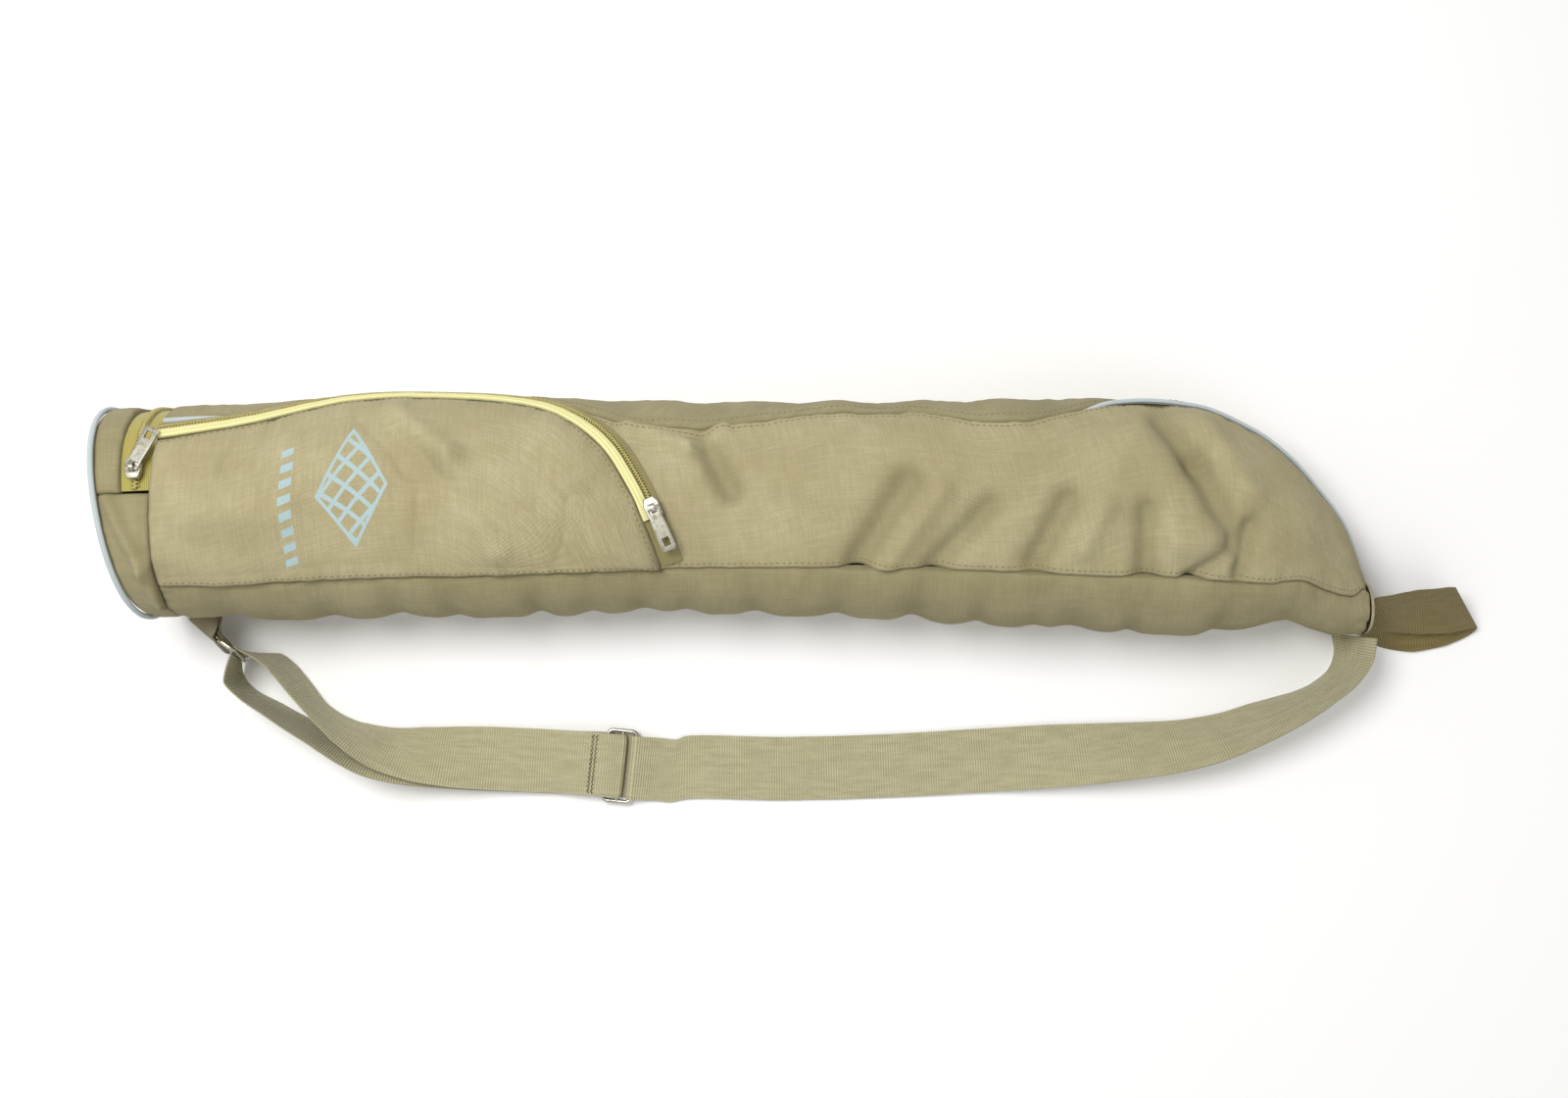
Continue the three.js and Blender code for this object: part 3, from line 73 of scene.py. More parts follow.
POCKET_ZIP = {
    "at": [.0396, .057, .101, .143, .179, .224, .271, .327, .3655, .387, .4025, .415, .4245, .4317],
    "angle": [51, 49, 42.3, 33.8, 26.4, 21, 22.6, 31, 47.5, 62.2, 77.7, 91.7, 105.4, 119.5],
}
END_SEAM_ANGLE, BACK_NEAR_ANGLE, BACK_FAR_ANGLE, MAIN_ZIP_ANGLE, MAIN_ZIP_END = 83.0, 222.0, 322.0, -9.0, 0.95


def read(table, key, place, by="at"):
    """Monotone cubic through a table's rows: harmonic mean slopes, zero at turns."""
    x, y = np.asarray(table[by], float), np.asarray(table[key], float)
    rise = np.diff(y) / np.diff(x)
    slope = np.zeros(len(x))
    slope[0], slope[-1] = rise[0], rise[-1]
    same = rise[:-1] * rise[1:] > 0
    slope[1:-1][same] = 2 * (rise[:-1] * rise[1:])[same] / (rise[:-1] + rise[1:])[same]
    at = np.clip(np.asarray(place, float), x[0], x[-1])
    k = np.clip(np.searchsorted(x, at, side="left") - 1, 0, len(x) - 2)
    span = x[k + 1] - x[k]
    t = (at - x[k]) / span
    return ((2 * t**3 - 3 * t**2 + 1) * y[k] + (t**3 - 2 * t**2 + t) * span * slope[k]
            + (3 * t**2 - 2 * t**3) * y[k + 1] + (t**3 - t**2) * span * slope[k + 1])


def body(at, angle):
    """y = middle + half width * curve(cos), z = widest + height * curve(sin), curve(v) = sign(v)|v|^(2/2.2)."""
    far, near = (read(SECTIONS, k, at) * BAG_WIDTH / 2 for k in ("far", "near"))
    top, under = (read(SECTIONS, k, at) * BAG_HEIGHT for k in ("top", "under"))
    widest = under + (top - under) * WIDEST_AT
    c, s = np.cos(np.radians(angle)), np.sin(np.radians(angle))
    curve = lambda v: np.sign(v) * np.abs(v) ** (2 / ROUNDNESS)
    y = (far + near) / 2 + (far - near) / 2 * curve(c)
    height = np.where(s > 0, top - widest, (widest - under) * FLATTENED)
    z = np.maximum(widest + height * curve(s), under)
    skew = BASE_SKEW * np.maximum(0, 1 - at * BAG_LENGTH / END_BAND_WIDTH)
    return np.stack([BAG_LENGTH * (at - 0.5) - skew * y, y, z], -1)


def slopes(at, angle):
    """Surface directions by central differences: mm for a share of the length, mm for a degree."""
    at, angle = np.broadcast_arrays(np.asarray(at, float), np.asarray(angle, float))
    low, high = np.maximum(0, at - 0.0015), np.minimum(1, at + 0.0015)
    along = (body(high, angle) - body(low, angle)) / (high - low)[..., None]
    return along, (body(at, angle + 0.4) - body(at, angle - 0.4)) / 0.8


def unit(v):
    return v / np.maximum(np.linalg.norm(v, axis=-1, keepdims=True), 1e-9)


def outward(at, angle):
    along, around = slopes(at, angle)
    return unit(np.cross(around, along))


def shifted(at, angle, lengthwise, around):
    """A place moved by millimetres along the bag and round it."""
    a, r = slopes(at, angle)
    return at + lengthwise / np.linalg.norm(a, axis=-1), angle + around / np.linalg.norm(r, axis=-1)


def seam(table):
    return lambda at: (at, read(table, "angle", at))


def level(angle):
    return lambda at: (at, np.full_like(at, angle))


def between(line, start, end, back=0.0):
    """A seam line over a range of the length, set back from its seam by millimetres."""
    return lambda p: shifted(*line(start + (end - start) * p), 0, back)


bodyStart, bodyEnd, farEnd = (END_BAND_WIDTH + SEAM_GAP) / BAG_LENGTH, 0.9975, 0.98
zipShare = MAIN_ZIP_OPENING / 2 / BAG_LENGTH
zipAt = bodyStart - zipShare
pipingRoom = PIPING_RADIUS + 2 * SEAM_GAP


def panel_places(line_a, line_b, rows, columns):
    """Places between two lines: p along them, q across, each a grid of rows x columns."""
    p, q = np.meshgrid(np.linspace(0, 1, rows), np.linspace(0, 1, columns), indexing="ij")
    (aa, ga), (ab, gb) = line_a(p), line_b(p)
    return p, q, aa + (ab - aa) * q, ga + (gb - ga) * q


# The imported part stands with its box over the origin: the shift is read from the
# back panel, whose solid has the same 46 x 4 grid as here
coarse = panel_places(between(level(BACK_NEAR_ANGLE), bodyStart, bodyEnd, SEAM_GAP / 2),
                      between(level(BACK_FAR_ANGLE), bodyStart, bodyEnd, -SEAM_GAP / 2), 47, 5)[2:]
shift = np.array(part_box("back_panel")[0]) * 1000 - body(*coarse).reshape(-1, 3).min(0)


# The camera looks straight down, as the photographer did
CAMERA_HEIGHT, CAMERA_X, CAMERA_Y, FOCAL = 1.100, 0.016, -0.0209, 1855 / 1600 * 36
camera = bpy.data.objects.new("camera", bpy.data.cameras.new("camera"))
bpy.context.scene.collection.objects.link(camera)
camera.data.sensor_width, camera.data.lens = 36, FOCAL
camera.data.clip_start, camera.data.clip_end = 0.01, 100
camera.location = (CAMERA_X + shift[0] / 1000, CAMERA_Y + shift[1] / 1000, CAMERA_HEIGHT)
bpy.context.scene.camera = camera


# A plain white table top under soft light: one broad light from the far left, a
# weaker one from the near right, and an even white surround.
FLOOR_COLOUR, SURROUND, KEY_POWER, FILL_POWER = (0.93, 0.925, 0.915, 1), 0.5, 17.5, 3


def area_light(name, place, size, power, target=(0, 0, 0.03)):
    data = bpy.data.lights.new(name, "AREA")
    data.shape, data.size, data.energy = "DISK", size, power
    lamp = bpy.data.objects.new(name, data)
    bpy.context.scene.collection.objects.link(lamp)
    lamp.location = place
    lamp.rotation_euler = (Vector(target) - Vector(place)).to_track_quat("-Z", "Y").to_euler()


area_light("key", (-0.5, 0.42, 1.4), 0.7, KEY_POWER)
area_light("fill", (0.8, -0.7, 1.1), 1.2, FILL_POWER)
world = bpy.data.worlds.new("surround")
bpy.context.scene.world = world
world.use_nodes = True
bpy.context.scene.view_settings.view_transform = "Standard"
world.node_tree.nodes["Background"].inputs["Color"].default_value = (1, 1, 1, 1)
world.node_tree.nodes["Background"].inputs["Strength"].default_value = SURROUND
floor_mesh = bpy.data.meshes.new("table_top")
floor_mesh.from_pydata([(-6, -6, -0.0006), (6, -6, -0.0006), (6, 6, -0.0006), (-6, 6, -0.0006)], [], [(0, 1, 2, 3)])
floor = bpy.data.objects.new("table_top", floor_mesh)
bpy.context.scene.collection.objects.link(floor)


class Nodes:
    """A material's node tree, with short calls that join nodes and return sockets."""

    def __init__(self, name, roughness=0.9, metallic=0.0, sheen=0.0, specular=0.3):
        self.material = bpy.data.materials.new(name)
        self.material.use_nodes = True
        self.tree = self.material.node_tree
        self.shader = self.tree.nodes["Principled BSDF"]
        for key, value in (("Roughness", roughness), ("Metallic", metallic), ("Sheen Weight", sheen),
                           ("Specular IOR Level", specular)):
            self.shader.inputs[key].default_value = value

    def put(self, socket, value):
        if isinstance(value, bpy.types.NodeSocket):
            self.tree.links.new(value, socket)
        elif value is not None:
            socket.default_value = value

    def math(self, operation, a, b=None, clamp=False):
        node = self.tree.nodes.new("ShaderNodeMath")
        node.operation, node.use_clamp = operation, clamp
        for socket, value in zip(node.inputs, (a, b)):
            self.put(socket, value)
        return node.outputs[0]

    def uv(self):
        node = self.tree.nodes.new("ShaderNodeUVMap")
        node.uv_map = "UVMap"
        return self.split(node.outputs[0])

    def split(self, vector):
        node = self.tree.nodes.new("ShaderNodeSeparateXYZ")
        self.put(node.inputs[0], vector)
        return node.outputs

    def join(self, x, y):
        node = self.tree.nodes.new("ShaderNodeCombineXYZ")
        for socket, value in zip(node.inputs, (x, y)):
            self.put(socket, value)
        return node.outputs[0]

    def place(self):
        return self.tree.nodes.new("ShaderNodeTexCoord").outputs["Object"]

    def noise(self, vector, scale, detail=3.0, roughness=0.5):
        node = self.tree.nodes.new("ShaderNodeTexNoise")
        for key, value in (("Vector", vector), ("Scale", scale), ("Detail", detail), ("Roughness", roughness)):
            self.put(node.inputs[key], value)
        return node.outputs["Fac"]

    def attribute(self, name):
        node = self.tree.nodes.new("ShaderNodeAttribute")
        node.attribute_name = name
        return node.outputs["Fac"]

    def ramp(self, value, low, high, to_low=0.0, to_high=1.0):
        node = self.tree.nodes.new("ShaderNodeMapRange")
        node.interpolation_type = "SMOOTHSTEP"
        for socket, v in zip(node.inputs, (value, low, high, to_low, to_high)):
            self.put(socket, v)
        return node.outputs[0]

    def mix(self, factor, a, b):
        node = self.tree.nodes.new("ShaderNodeMix")
        node.data_type = "RGBA"
        self.put(node.inputs[0], factor)
        self.put(node.inputs[6], a)
        self.put(node.inputs[7], b)
        return node.outputs[2]

    def bump(self, height, distance, strength=1.0):
        node = self.tree.nodes.new("ShaderNodeBump")
        for key, value in (("Height", height), ("Distance", distance), ("Strength", strength)):
            self.put(node.inputs[key], value)
        return node.outputs[0]

    def finish(self, colour, normal=None, roughness=None):
        self.put(self.shader.inputs["Base Color"], colour)
        if normal is not None:
            self.put(self.shader.inputs["Normal"], normal)
        if roughness is not None:
            self.put(self.shader.inputs["Roughness"], roughness)
        return self.material


def tint(r, g, b):
    """An sRGB colour of 0 to 255 as a linear one."""
    lin = [v / 255 / 12.92 if v <= 10 else ((v / 255 + 0.055) / 1.055) ** 2.4 for v in (r, g, b)]
    return (*lin, 1.0)


table_top = Nodes("white_table", roughness=0.6, specular=0.2)
haze = table_top.noise(table_top.place(), 3.0, 2.0)
floor_mesh.materials.append(table_top.finish(table_top.mix(haze, FLOOR_COLOUR, (0.95, 0.945, 0.935, 1))))


# Mesh making, shared by every piece
def make_mesh(name, vertices, faces, uv=None, shade=None, sharp=50):
    mesh = bpy.data.meshes.new(name)
    mesh.from_pydata((np.asarray(vertices) + shift).reshape(-1, 3) / 1000, [], faces)
    if uv is not None:
        corner = np.empty(len(mesh.loops), np.int32)
        mesh.loops.foreach_get("vertex_index", corner)
        layer = mesh.uv_layers.new(name="UVMap")
        layer.data.foreach_set("uv", np.asarray(uv, np.float32).reshape(-1, 2)[corner].ravel())
    if shade is not None:
        layer = mesh.attributes.new("shade", "FLOAT", "POINT")
        layer.data.foreach_set("value", np.asarray(shade, np.float32).ravel())
    mesh.polygons.foreach_set("use_smooth", [True] * len(mesh.polygons))
    mesh.set_sharp_from_angle(angle=math.radians(sharp))
    return mesh


def add(name, mesh, material, rides="bag", replaces=()):
    piece = bpy.data.objects.new(name, mesh)
    bpy.context.scene.collection.objects.link(piece)
    mesh.materials.append(material)
    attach(piece, rides)
    if replaces:
        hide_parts(*replaces)
    return piece


def grid_faces(rows, columns, flip=False, close_rows=False, close_columns=False):
    """Quads of a grid; closed directions join the last line to the first."""
    i, j = np.meshgrid(np.arange(rows if close_rows else rows - 1),
                       np.arange(columns if close_columns else columns - 1), indexing="ij")
    i, j = i.ravel(), j.ravel()
    ii, jj = (i + 1) % rows, (j + 1) % columns
    quads = np.stack([i * columns + j, i * columns + jj, ii * columns + jj, ii * columns + j], 1)
    return (quads[:, ::-1] if flip else quads).tolist()


def arc(points, axis):
    """Running length along one direction of a grid of points."""
    step = np.linalg.norm(np.diff(points, axis=axis), axis=-1)
    start = np.zeros_like(np.take(step, [0], axis=axis))
    return np.concatenate([start, np.cumsum(step, axis=axis)], axis=axis)


def ripple(u, v, size, seed):
    """Smooth value noise from -1 to 1: random lattice values joined by smoothstep."""
    lattice = np.random.default_rng(seed).uniform(-1, 1, (64, 64))
    x, y = np.asarray(u) / size + 900, np.asarray(v) / size + 900
    i, j = np.floor(x).astype(int), np.floor(y).astype(int)
    fx, fy = x - i, y - j
    fx, fy = fx * fx * (3 - 2 * fx), fy * fy * (3 - 2 * fy)
    at = lambda a, b: lattice[a % 64, b % 64]
    return ((at(i, j) * (1 - fx) + at(i + 1, j) * fx) * (1 - fy)
            + (at(i, j + 1) * (1 - fx) + at(i + 1, j + 1) * fx) * fy)


def smooth(v, low, high):
    t = np.clip((v - low) / (high - low), 0, 1)
    return t * t * (3 - 2 * t)


# Soft rumples as (depth, size, stretch along, stretch across), and the hollows that
# run along a sewn border: how deep, how far from the edge and how wide they are.
RUMPLES = [(0.55, 34, 1, 0.7), (0.35, 17, 1.2, 1), (0.16, 7.5, 1, 1)]
TURN_IN, TURN_IN_SPREAD, GROOVE, GROOVE_AT, GROOVE_SPREAD = 1.25, 1.3, 0.32, 3.2, 0.8
DRAWN_AT, DRAWN_SPREAD = 2, 8


def cut_from_cloth(places, relief=None, puckers=0.5, seed=1, base=0.0, rumple=1.0):
    """A sewn panel over the body: height = base + folds + rumple * soft rumples, and near
    each edge a rounded turn-in, a stitched groove and short puckers that the thread
    draws, each of them a depth times exp(-(distance from its line / spread)^2)."""
    at, angle = places[2:]
    flat = body(at, angle)
    u, v = arc(flat, 0), arc(flat, 1)
    width, length = v[:, -1:], u[-1:, :]
    height = base + np.zeros_like(at)
    if relief is not None:
        height = height + relief(flat, at, angle, places[1])
    folds = height - base
    height += rumple * sum(depth * ripple(u * along, v * across, size, seed + k)
                           for k, (depth, size, along, across) in enumerate(RUMPLES))
    # painted shade: darker along each sewn border, where the cloth turns in
    shade = np.zeros_like(at)
    for k, (away, run) in enumerate([(v, u), (width - v, u), (u, v), (length - u, v)]):
        height -= (TURN_IN * np.exp(-(away / TURN_IN_SPREAD) ** 2)
                   + GROOVE * np.exp(-((away - GROOVE_AT) / GROOVE_SPREAD) ** 2))
        draw = ripple(run, away * 0.2, 6.5, seed + 5 + k) + 0.6 * ripple(run, away * 0.2, 3.4, seed + 9 + k)
        height += puckers * draw * np.exp(-((away - DRAWN_AT) / DRAWN_SPREAD) ** 2)
        shade += 0.6 * np.exp(-away ** 2)
    # painted shade in the hollows of the folds
    hollow = np.clip(-folds / 4, 0, 1)
    normal = outward(at, angle)
    return {"points": flat + normal * height[..., None], "normal": normal, "u": u, "v": v, "width": width,
            "height": height, "shade": np.clip(shade + 0.5 * hollow, 0, 1), "places": places}


def skin_mesh(name, cloth, hem):
    """The cloth's outer face with its borders turned in by the cloth's thickness."""
    points, normal = cloth["points"], cloth["normal"]
    pad = lambda a: np.pad(a, [(1, 1), (1, 1)] + [(0, 0)] * (a.ndim - 2), mode="edge")
    p, n, u, v, shade = pad(points), pad(normal), pad(cloth["u"]), pad(cloth["v"]), pad(cloth["shade"])
    ring = np.ones(p.shape[:2], bool)
    ring[1:-1, 1:-1] = False
    p[ring] -= n[ring] * hem
    v[:, 0] -= hem
    v[:, -1] += hem
    u[0] -= hem
    u[-1] += hem
    middle = points.shape[0] // 2, points.shape[1] // 2
    du = points[middle[0] + 1, middle[1]] - points[middle]
    dv = points[middle[0], middle[1] + 1] - points[middle]
    flip = np.dot(np.cross(dv, du), normal[middle]) < 0
    return make_mesh(name, p.reshape(-1, 3), grid_faces(*p.shape[:2], flip=flip), np.stack([u, v], -1), shade,
                     sharp=70)


def add_panel(name, cloth, finish, hem=5.0):
    add(name, skin_mesh(name, cloth, hem), finish, replaces=[name])


def edge_line(cloth, inset, far, start, end):
    """Points and normals on a cloth at a distance from one of its long edges."""
    v = cloth["width"] - cloth["v"][:, ::-1] if far else cloth["v"]
    flip = (lambda a: a[:, ::-1]) if far else (lambda a: a)
    points, normal = flip(cloth["points"]), flip(cloth["normal"])
    rows = range(int(start * (len(v) - 1)), int(end * (len(v) - 1)) + 1)
    pick = lambda a: np.array([[np.interp(inset, v[i], a[i, :, k]) for k in range(3)] for i in rows])
    return pick(points), unit(pick(normal))


# Small spindles and bent wires are RINGS rings of SIDES points, closed at both ends
RINGS, SIDES = 5, 6
RING_TURN = np.linspace(0, 2 * np.pi, SIDES, endpoint=False)
RING_ENDS = [list(range(SIDES))[::-1], list(range((RINGS - 1) * SIDES, RINGS * SIDES))]
STITCH_PITCH, STITCH_LENGTH, STITCH_RADIUS, STITCH_SINK = 3.4, 2.5, 0.34, 0.1
# where a stitch's rings are along it, how thick they are and how high they rise
STITCH_RINGS = np.array([(-0.5, 0.25, -0.75), (-0.36, 0.85, -0.1), (0, 1.0, 0.25), (0.36, 0.85, -0.1),
                         (0.5, 0.25, -0.75)])


def sewn(points, normal):
    """A row of thread stitches: each is a small spindle laid along the line and
    pressed into the cloth at both ends. Returns vertices and faces."""
    run = arc(points, 0)
    count = max(2, int(run[-1] / STITCH_PITCH))
    middle = (np.arange(count) + 0.5) * run[-1] / count
    at = lambda s, a: np.stack([np.interp(s, run, a[:, k]) for k in range(3)], -1)
    p, n = at(middle, points), unit(at(middle, normal))
    ahead = unit(at(middle + STITCH_LENGTH / 2, points) - at(middle - STITCH_LENGTH / 2, points))
    side = unit(np.cross(n, ahead))
    along, thick, rise = (STITCH_RINGS[:, k:k + 1] for k in range(3))
    lifted = STITCH_RADIUS * (rise + thick * np.sin(RING_TURN)) - STITCH_SINK
    out = (p[:, None, None] + ahead[:, None, None] * (along * STITCH_LENGTH)[None, :, :, None]
           + n[:, None, None] * lifted[None, :, :, None]
           + side[:, None, None] * (STITCH_RADIUS * thick * np.cos(RING_TURN))[None, :, :, None])
    one = grid_faces(RINGS, SIDES, close_columns=True) + RING_ENDS
    faces = [[k * RINGS * SIDES + v for v in face] for k in range(count) for face in one]
    return out.reshape(-1, 3), faces


def sewn_piece(name, lines):
    """One mesh of several rows of stitches, each given as points and normals."""
    vertices, faces = [], []
    for points, normal in lines:
        v, f = sewn(points, normal)
        start = sum(len(a) for a in vertices)
        faces += [[start + k for k in face] for face in f]
        vertices.append(v)
    return add(name, make_mesh(name, np.concatenate(vertices), faces), THREAD_FINISH)


def tube(points, radius, sides=10, closed=False, up=None):
    """A round tube along points: vertices, faces and uv in mm, with flat ends."""
    points = np.asarray(points, float)
    if closed:
        ahead = unit(np.roll(points, -1, 0) - np.roll(points, 1, 0))
    else:
        ahead = unit(np.gradient(points, axis=0))
    up = np.broadcast_to(np.array([0, 0, 1.0]) if up is None else up, points.shape)
    side = unit(np.cross(ahead, up))
    top = np.cross(side, ahead)
    turn = np.linspace(0, 2 * np.pi, sides, endpoint=False)
    radius = np.broadcast_to(radius, len(points))[:, None, None]
    ring = points[:, None] + radius * (side[:, None] * np.cos(turn)[None, :, None]
                                       + top[:, None] * np.sin(turn)[None, :, None])
    faces = grid_faces(len(points), sides, flip=True, close_rows=closed, close_columns=True)
    if not closed:
        last = (len(points) - 1) * sides
        faces += [list(range(sides)), [last + k for k in reversed(range(sides))]]
    run = arc(points, 0)
    uv = np.stack(np.broadcast_arrays(run[:, None], (turn * radius.mean())[None, :]), -1)
    return ring.reshape(-1, 3), faces, uv


# Canvas, the cloth of every panel: a plain weave of slubby cotton threads, soft
# and matt, with painted shade darkening its hollows and seams.
THREAD = 1.15
CANVAS, CANVAS_DARK, CANVAS_LIGHT = tint(174, 163, 126), tint(140, 130, 92), tint(190, 180, 144)


def canvas(name, base=CANVAS, dark=CANVAS_DARK, light=CANVAS_LIGHT, printed=None):
    m = Nodes(name, roughness=0.92, sheen=0.08, specular=0.15)
    u, v, _ = m.uv()
    cloud = m.noise(m.place(), 22.0, 4.0, 0.6)
    colour = m.mix(m.ramp(cloud, 0.3, 0.72), base, light)
    warp = m.noise(m.join(m.math("MULTIPLY", u, 0.05), m.math("MULTIPLY", v, 0.9)), 1.0, 2.0)
    weft = m.noise(m.join(m.math("MULTIPLY", u, 0.9), m.math("MULTIPLY", v, 0.05)), 1.0, 2.0)
    slub = m.math("MULTIPLY", m.math("ADD", warp, weft), 0.5)
    colour = m.mix(m.ramp(slub, 0.62, 0.42, 0.0, 0.28), colour, dark)
    grain = m.noise(m.join(u, v), 1.3, 2.0, 0.6)
    colour = m.mix(m.ramp(grain, 0.66, 0.40, 0.0, 0.20), colour, dark)
    wave = lambda w: m.math("SINE", m.math("MULTIPLY", w, 2 * math.pi / THREAD))
    weave = m.math("MULTIPLY", wave(u), wave(v))
    colour = m.mix(m.ramp(weave, 0.2, -0.9, 0.0, 0.16), colour, dark)
    if printed is not None:
        colour = printed(m, u, v, colour, grain)
    # painted shade: the cloth's shade attribute darkens its fold hollows and turned-in seam borders
    colour = m.mix(m.math("MULTIPLY", m.attribute("shade"), 0.62), colour, tint(116, 108, 76))
    height = m.math("ADD", m.math("MULTIPLY", weave, 0.5), m.math("MULTIPLY", m.math("ADD", slub, grain), 1.1))
    return m.finish(colour, m.bump(height, 0.00028, 0.9))


CLOTH_FINISH = canvas("cotton_canvas")
# painted shade: a darker copy of the canvas for the near band, the top strip and the end bands, which face away from
# the light
SHADED_SIDE_FINISH = canvas("cotton_canvas_shaded_sides", tint(158, 148, 112), tint(124, 116, 80), tint(172, 162, 126))


# The thread of the seams: twisted cotton, darker than the canvas
def thread(name, colour):
    m = Nodes(name, roughness=0.7, sheen=0.15)
    grain = m.noise(m.place(), 900.0, 2.0)
    return m.finish(m.mix(grain, colour, tuple(c * 0.72 for c in colour[:3]) + (1,)), m.bump(grain, 0.0001))


THREAD_FINISH = thread("seam_thread", tint(128, 118, 84))


# The body's folds: each row is a line seen from above with a Gaussian across it.
# Places are shares of the length and of half the width; spread and depth of the width.
FOLDS = {
    "front": [
        (.46, .64, .481, .18, .072, -.036), (.401, .76, .449, .55, .048, .02), (.449, .55, .475, .73, .048, .02),
        (.617, .27, .579, -.46, .088, -.036), (.643, .18, .599, -.51, .072, .024),
        (.681, .05, .636, -.51, .072, -.028),
        (.741, .1, .715, -.46, .08, -.032), (.768, .05, .752, -.33, .08, .024), (.803, .01, .802, -.55, .072, -.032),
        (.819, .84, .842, .45, .08, -.032), (.843, .45, .868, -.2, .08, -.04), (.853, .71, .884, .19, .096, .024),
        (.826, -.25, .86, -.26, .112, .032), (.868, -.33, .838, -.6, .056, -.032),
        (.886, -.13, .878, -.55, .056, -.032),
    ],
    "pocket": [
        (.116, .7, .098, .37, .056, -.02), (.199, .83, .239, .4, .072, -.024), (.24, .4, .289, .05, .072, -.024),
        (.221, .83, .266, .44, .064, .024), (.266, .44, .302, -.33, .08, .028), (.248, .1, .25, -.44, .064, -.02),
        (.364, .05, .36, -.51, .088, -.024), (.083, -.03, .139, .01, .128, .032), (.341, .7, .371, .36, .096, .02),
    ],
    "end_band": [(.006, .1, .03, -.5, .04, .024), (.03, -.5, .036, -.8, .04, .024)],
}
PUCKERS = [
    (.082, .072, -.022), (.16, .072, -.022), (.214, .08, -.026), (.26, .056, -.018), (.326, .056, -.03),
    (.368, .064, -.022), (.41, .064, -.022), (.445, .064, -.022), (.499, .072, -.026), (.565, .064, -.022),
    (.627, .072, -.036), (.677, .056, -.022), (.723, .056, -.018), (.754, .104, -.034), (.8, .064, -.022),
    (.87, .064, -.022),
]


# How much deeper and narrower the cloth's folds are than those of the solids
FOLD_DEPTH, FOLD_SPREAD = 1.6, 0.8


def fold_height(point, rows):
    """Sum of depth * exp(-(distance to the line / spread)^2), faded out below mid height."""
    total = np.zeros(point.shape[:-1])
    for a, c, b, d, spread, depth in rows:
        x0, y0, x1, y1 = (a - .5) * BAG_LENGTH, c * BAG_WIDTH / 2, (b - .5) * BAG_LENGTH, d * BAG_WIDTH / 2
        rx, ry = x1 - x0, y1 - y0
        t = np.clip(((point[..., 0] - x0) * rx + (point[..., 1] - y0) * ry) / (rx * rx + ry * ry), 0, 1)
        away = np.hypot(point[..., 0] - x0 - rx * t, point[..., 1] - y0 - ry * t)
        total += FOLD_DEPTH * depth * BAG_WIDTH * np.exp(-((away / (FOLD_SPREAD * spread * BAG_WIDTH)) ** 2))
    return total * smooth(point[..., 2], 0.25 * BAG_HEIGHT, 0.5 * BAG_HEIGHT)


def pucker_height(at, across):
    total = np.zeros(at.shape)
    for a, spread, depth in PUCKERS:
        total += depth * BAG_WIDTH * np.exp(-(((at - a) * BAG_LENGTH / (spread * BAG_WIDTH)) ** 2))
    return total * np.sin(np.pi * across)


# The front panel: one long cut of canvas from the far seam to the lower seam. Its
# far edge is folded over the piping in the middle and stands back from it at both ends.
def lip(p):
    at = bodyStart + (bodyEnd - bodyStart) * p
    shown = np.maximum(1 - smooth(at, .08, .14), smooth(at, .74, .80))
    return -0.9 + (pipingRoom + 0.9) * shown


front = cut_from_cloth(
    panel_places(lambda p: between(seam(FRONT_SEAM), bodyStart, bodyEnd, lip(p))(p),
                 between(seam(LOWER_SEAM), bodyStart, bodyEnd, -SEAM_GAP / 2), 460, 84),
    relief=lambda point, at, angle, q: fold_height(point, FOLDS["front"]) + 0.9 * np.exp(-(q / .03) ** 2)
    * (1 - smooth(at, .74, .80)), seed=11, puckers=0.5)
add_panel("front_panel", front, CLOTH_FINISH)

# The near band: the gathered strip between the lower seam and the back, with
# puckers that run across it.
near = cut_from_cloth(
    panel_places(between(seam(LOWER_SEAM), bodyStart, bodyEnd, SEAM_GAP / 2),
                 between(level(BACK_NEAR_ANGLE), bodyStart, bodyEnd, -SEAM_GAP / 2), 430, 60),
    relief=lambda point, at, angle, q: pucker_height(at, q), seed=31, puckers=0.8)
add_panel("near_band", near, SHADED_SIDE_FINISH)

# The back, which lies on the table, and the flap below the main zip
back = cut_from_cloth(
    panel_places(between(level(BACK_NEAR_ANGLE), bodyStart, bodyEnd, SEAM_GAP / 2),
                 between(level(BACK_FAR_ANGLE), bodyStart, bodyEnd, -SEAM_GAP / 2), 240, 50),
    seed=51, puckers=0.2, rumple=0.0)
back["points"][..., 2] = np.maximum(back["points"][..., 2], 0)
add_panel("back_panel", back, CLOTH_FINISH)
flap = cut_from_cloth(
    panel_places(between(level(MAIN_ZIP_ANGLE), bodyStart, bodyEnd, -MAIN_ZIP_OPENING / 2),
                 between(level(BACK_FAR_ANGLE - 360), bodyStart, bodyEnd, SEAM_GAP / 2), 400, 24), seed=61)
add_panel("zip_flap", flap, CLOTH_FINISH)


# The strip above the main zip, up to the piping: soft waves along it
def strip_top(p):
    top_at, top_angle = between(seam(FRONT_SEAM), bodyStart, farEnd, -pipingRoom)(p)
    edge_angle = between(level(MAIN_ZIP_ANGLE), bodyStart, farEnd, MAIN_ZIP_OPENING / 2)(p)[1]
    return top_at, np.maximum(top_angle, edge_angle + 1.5)


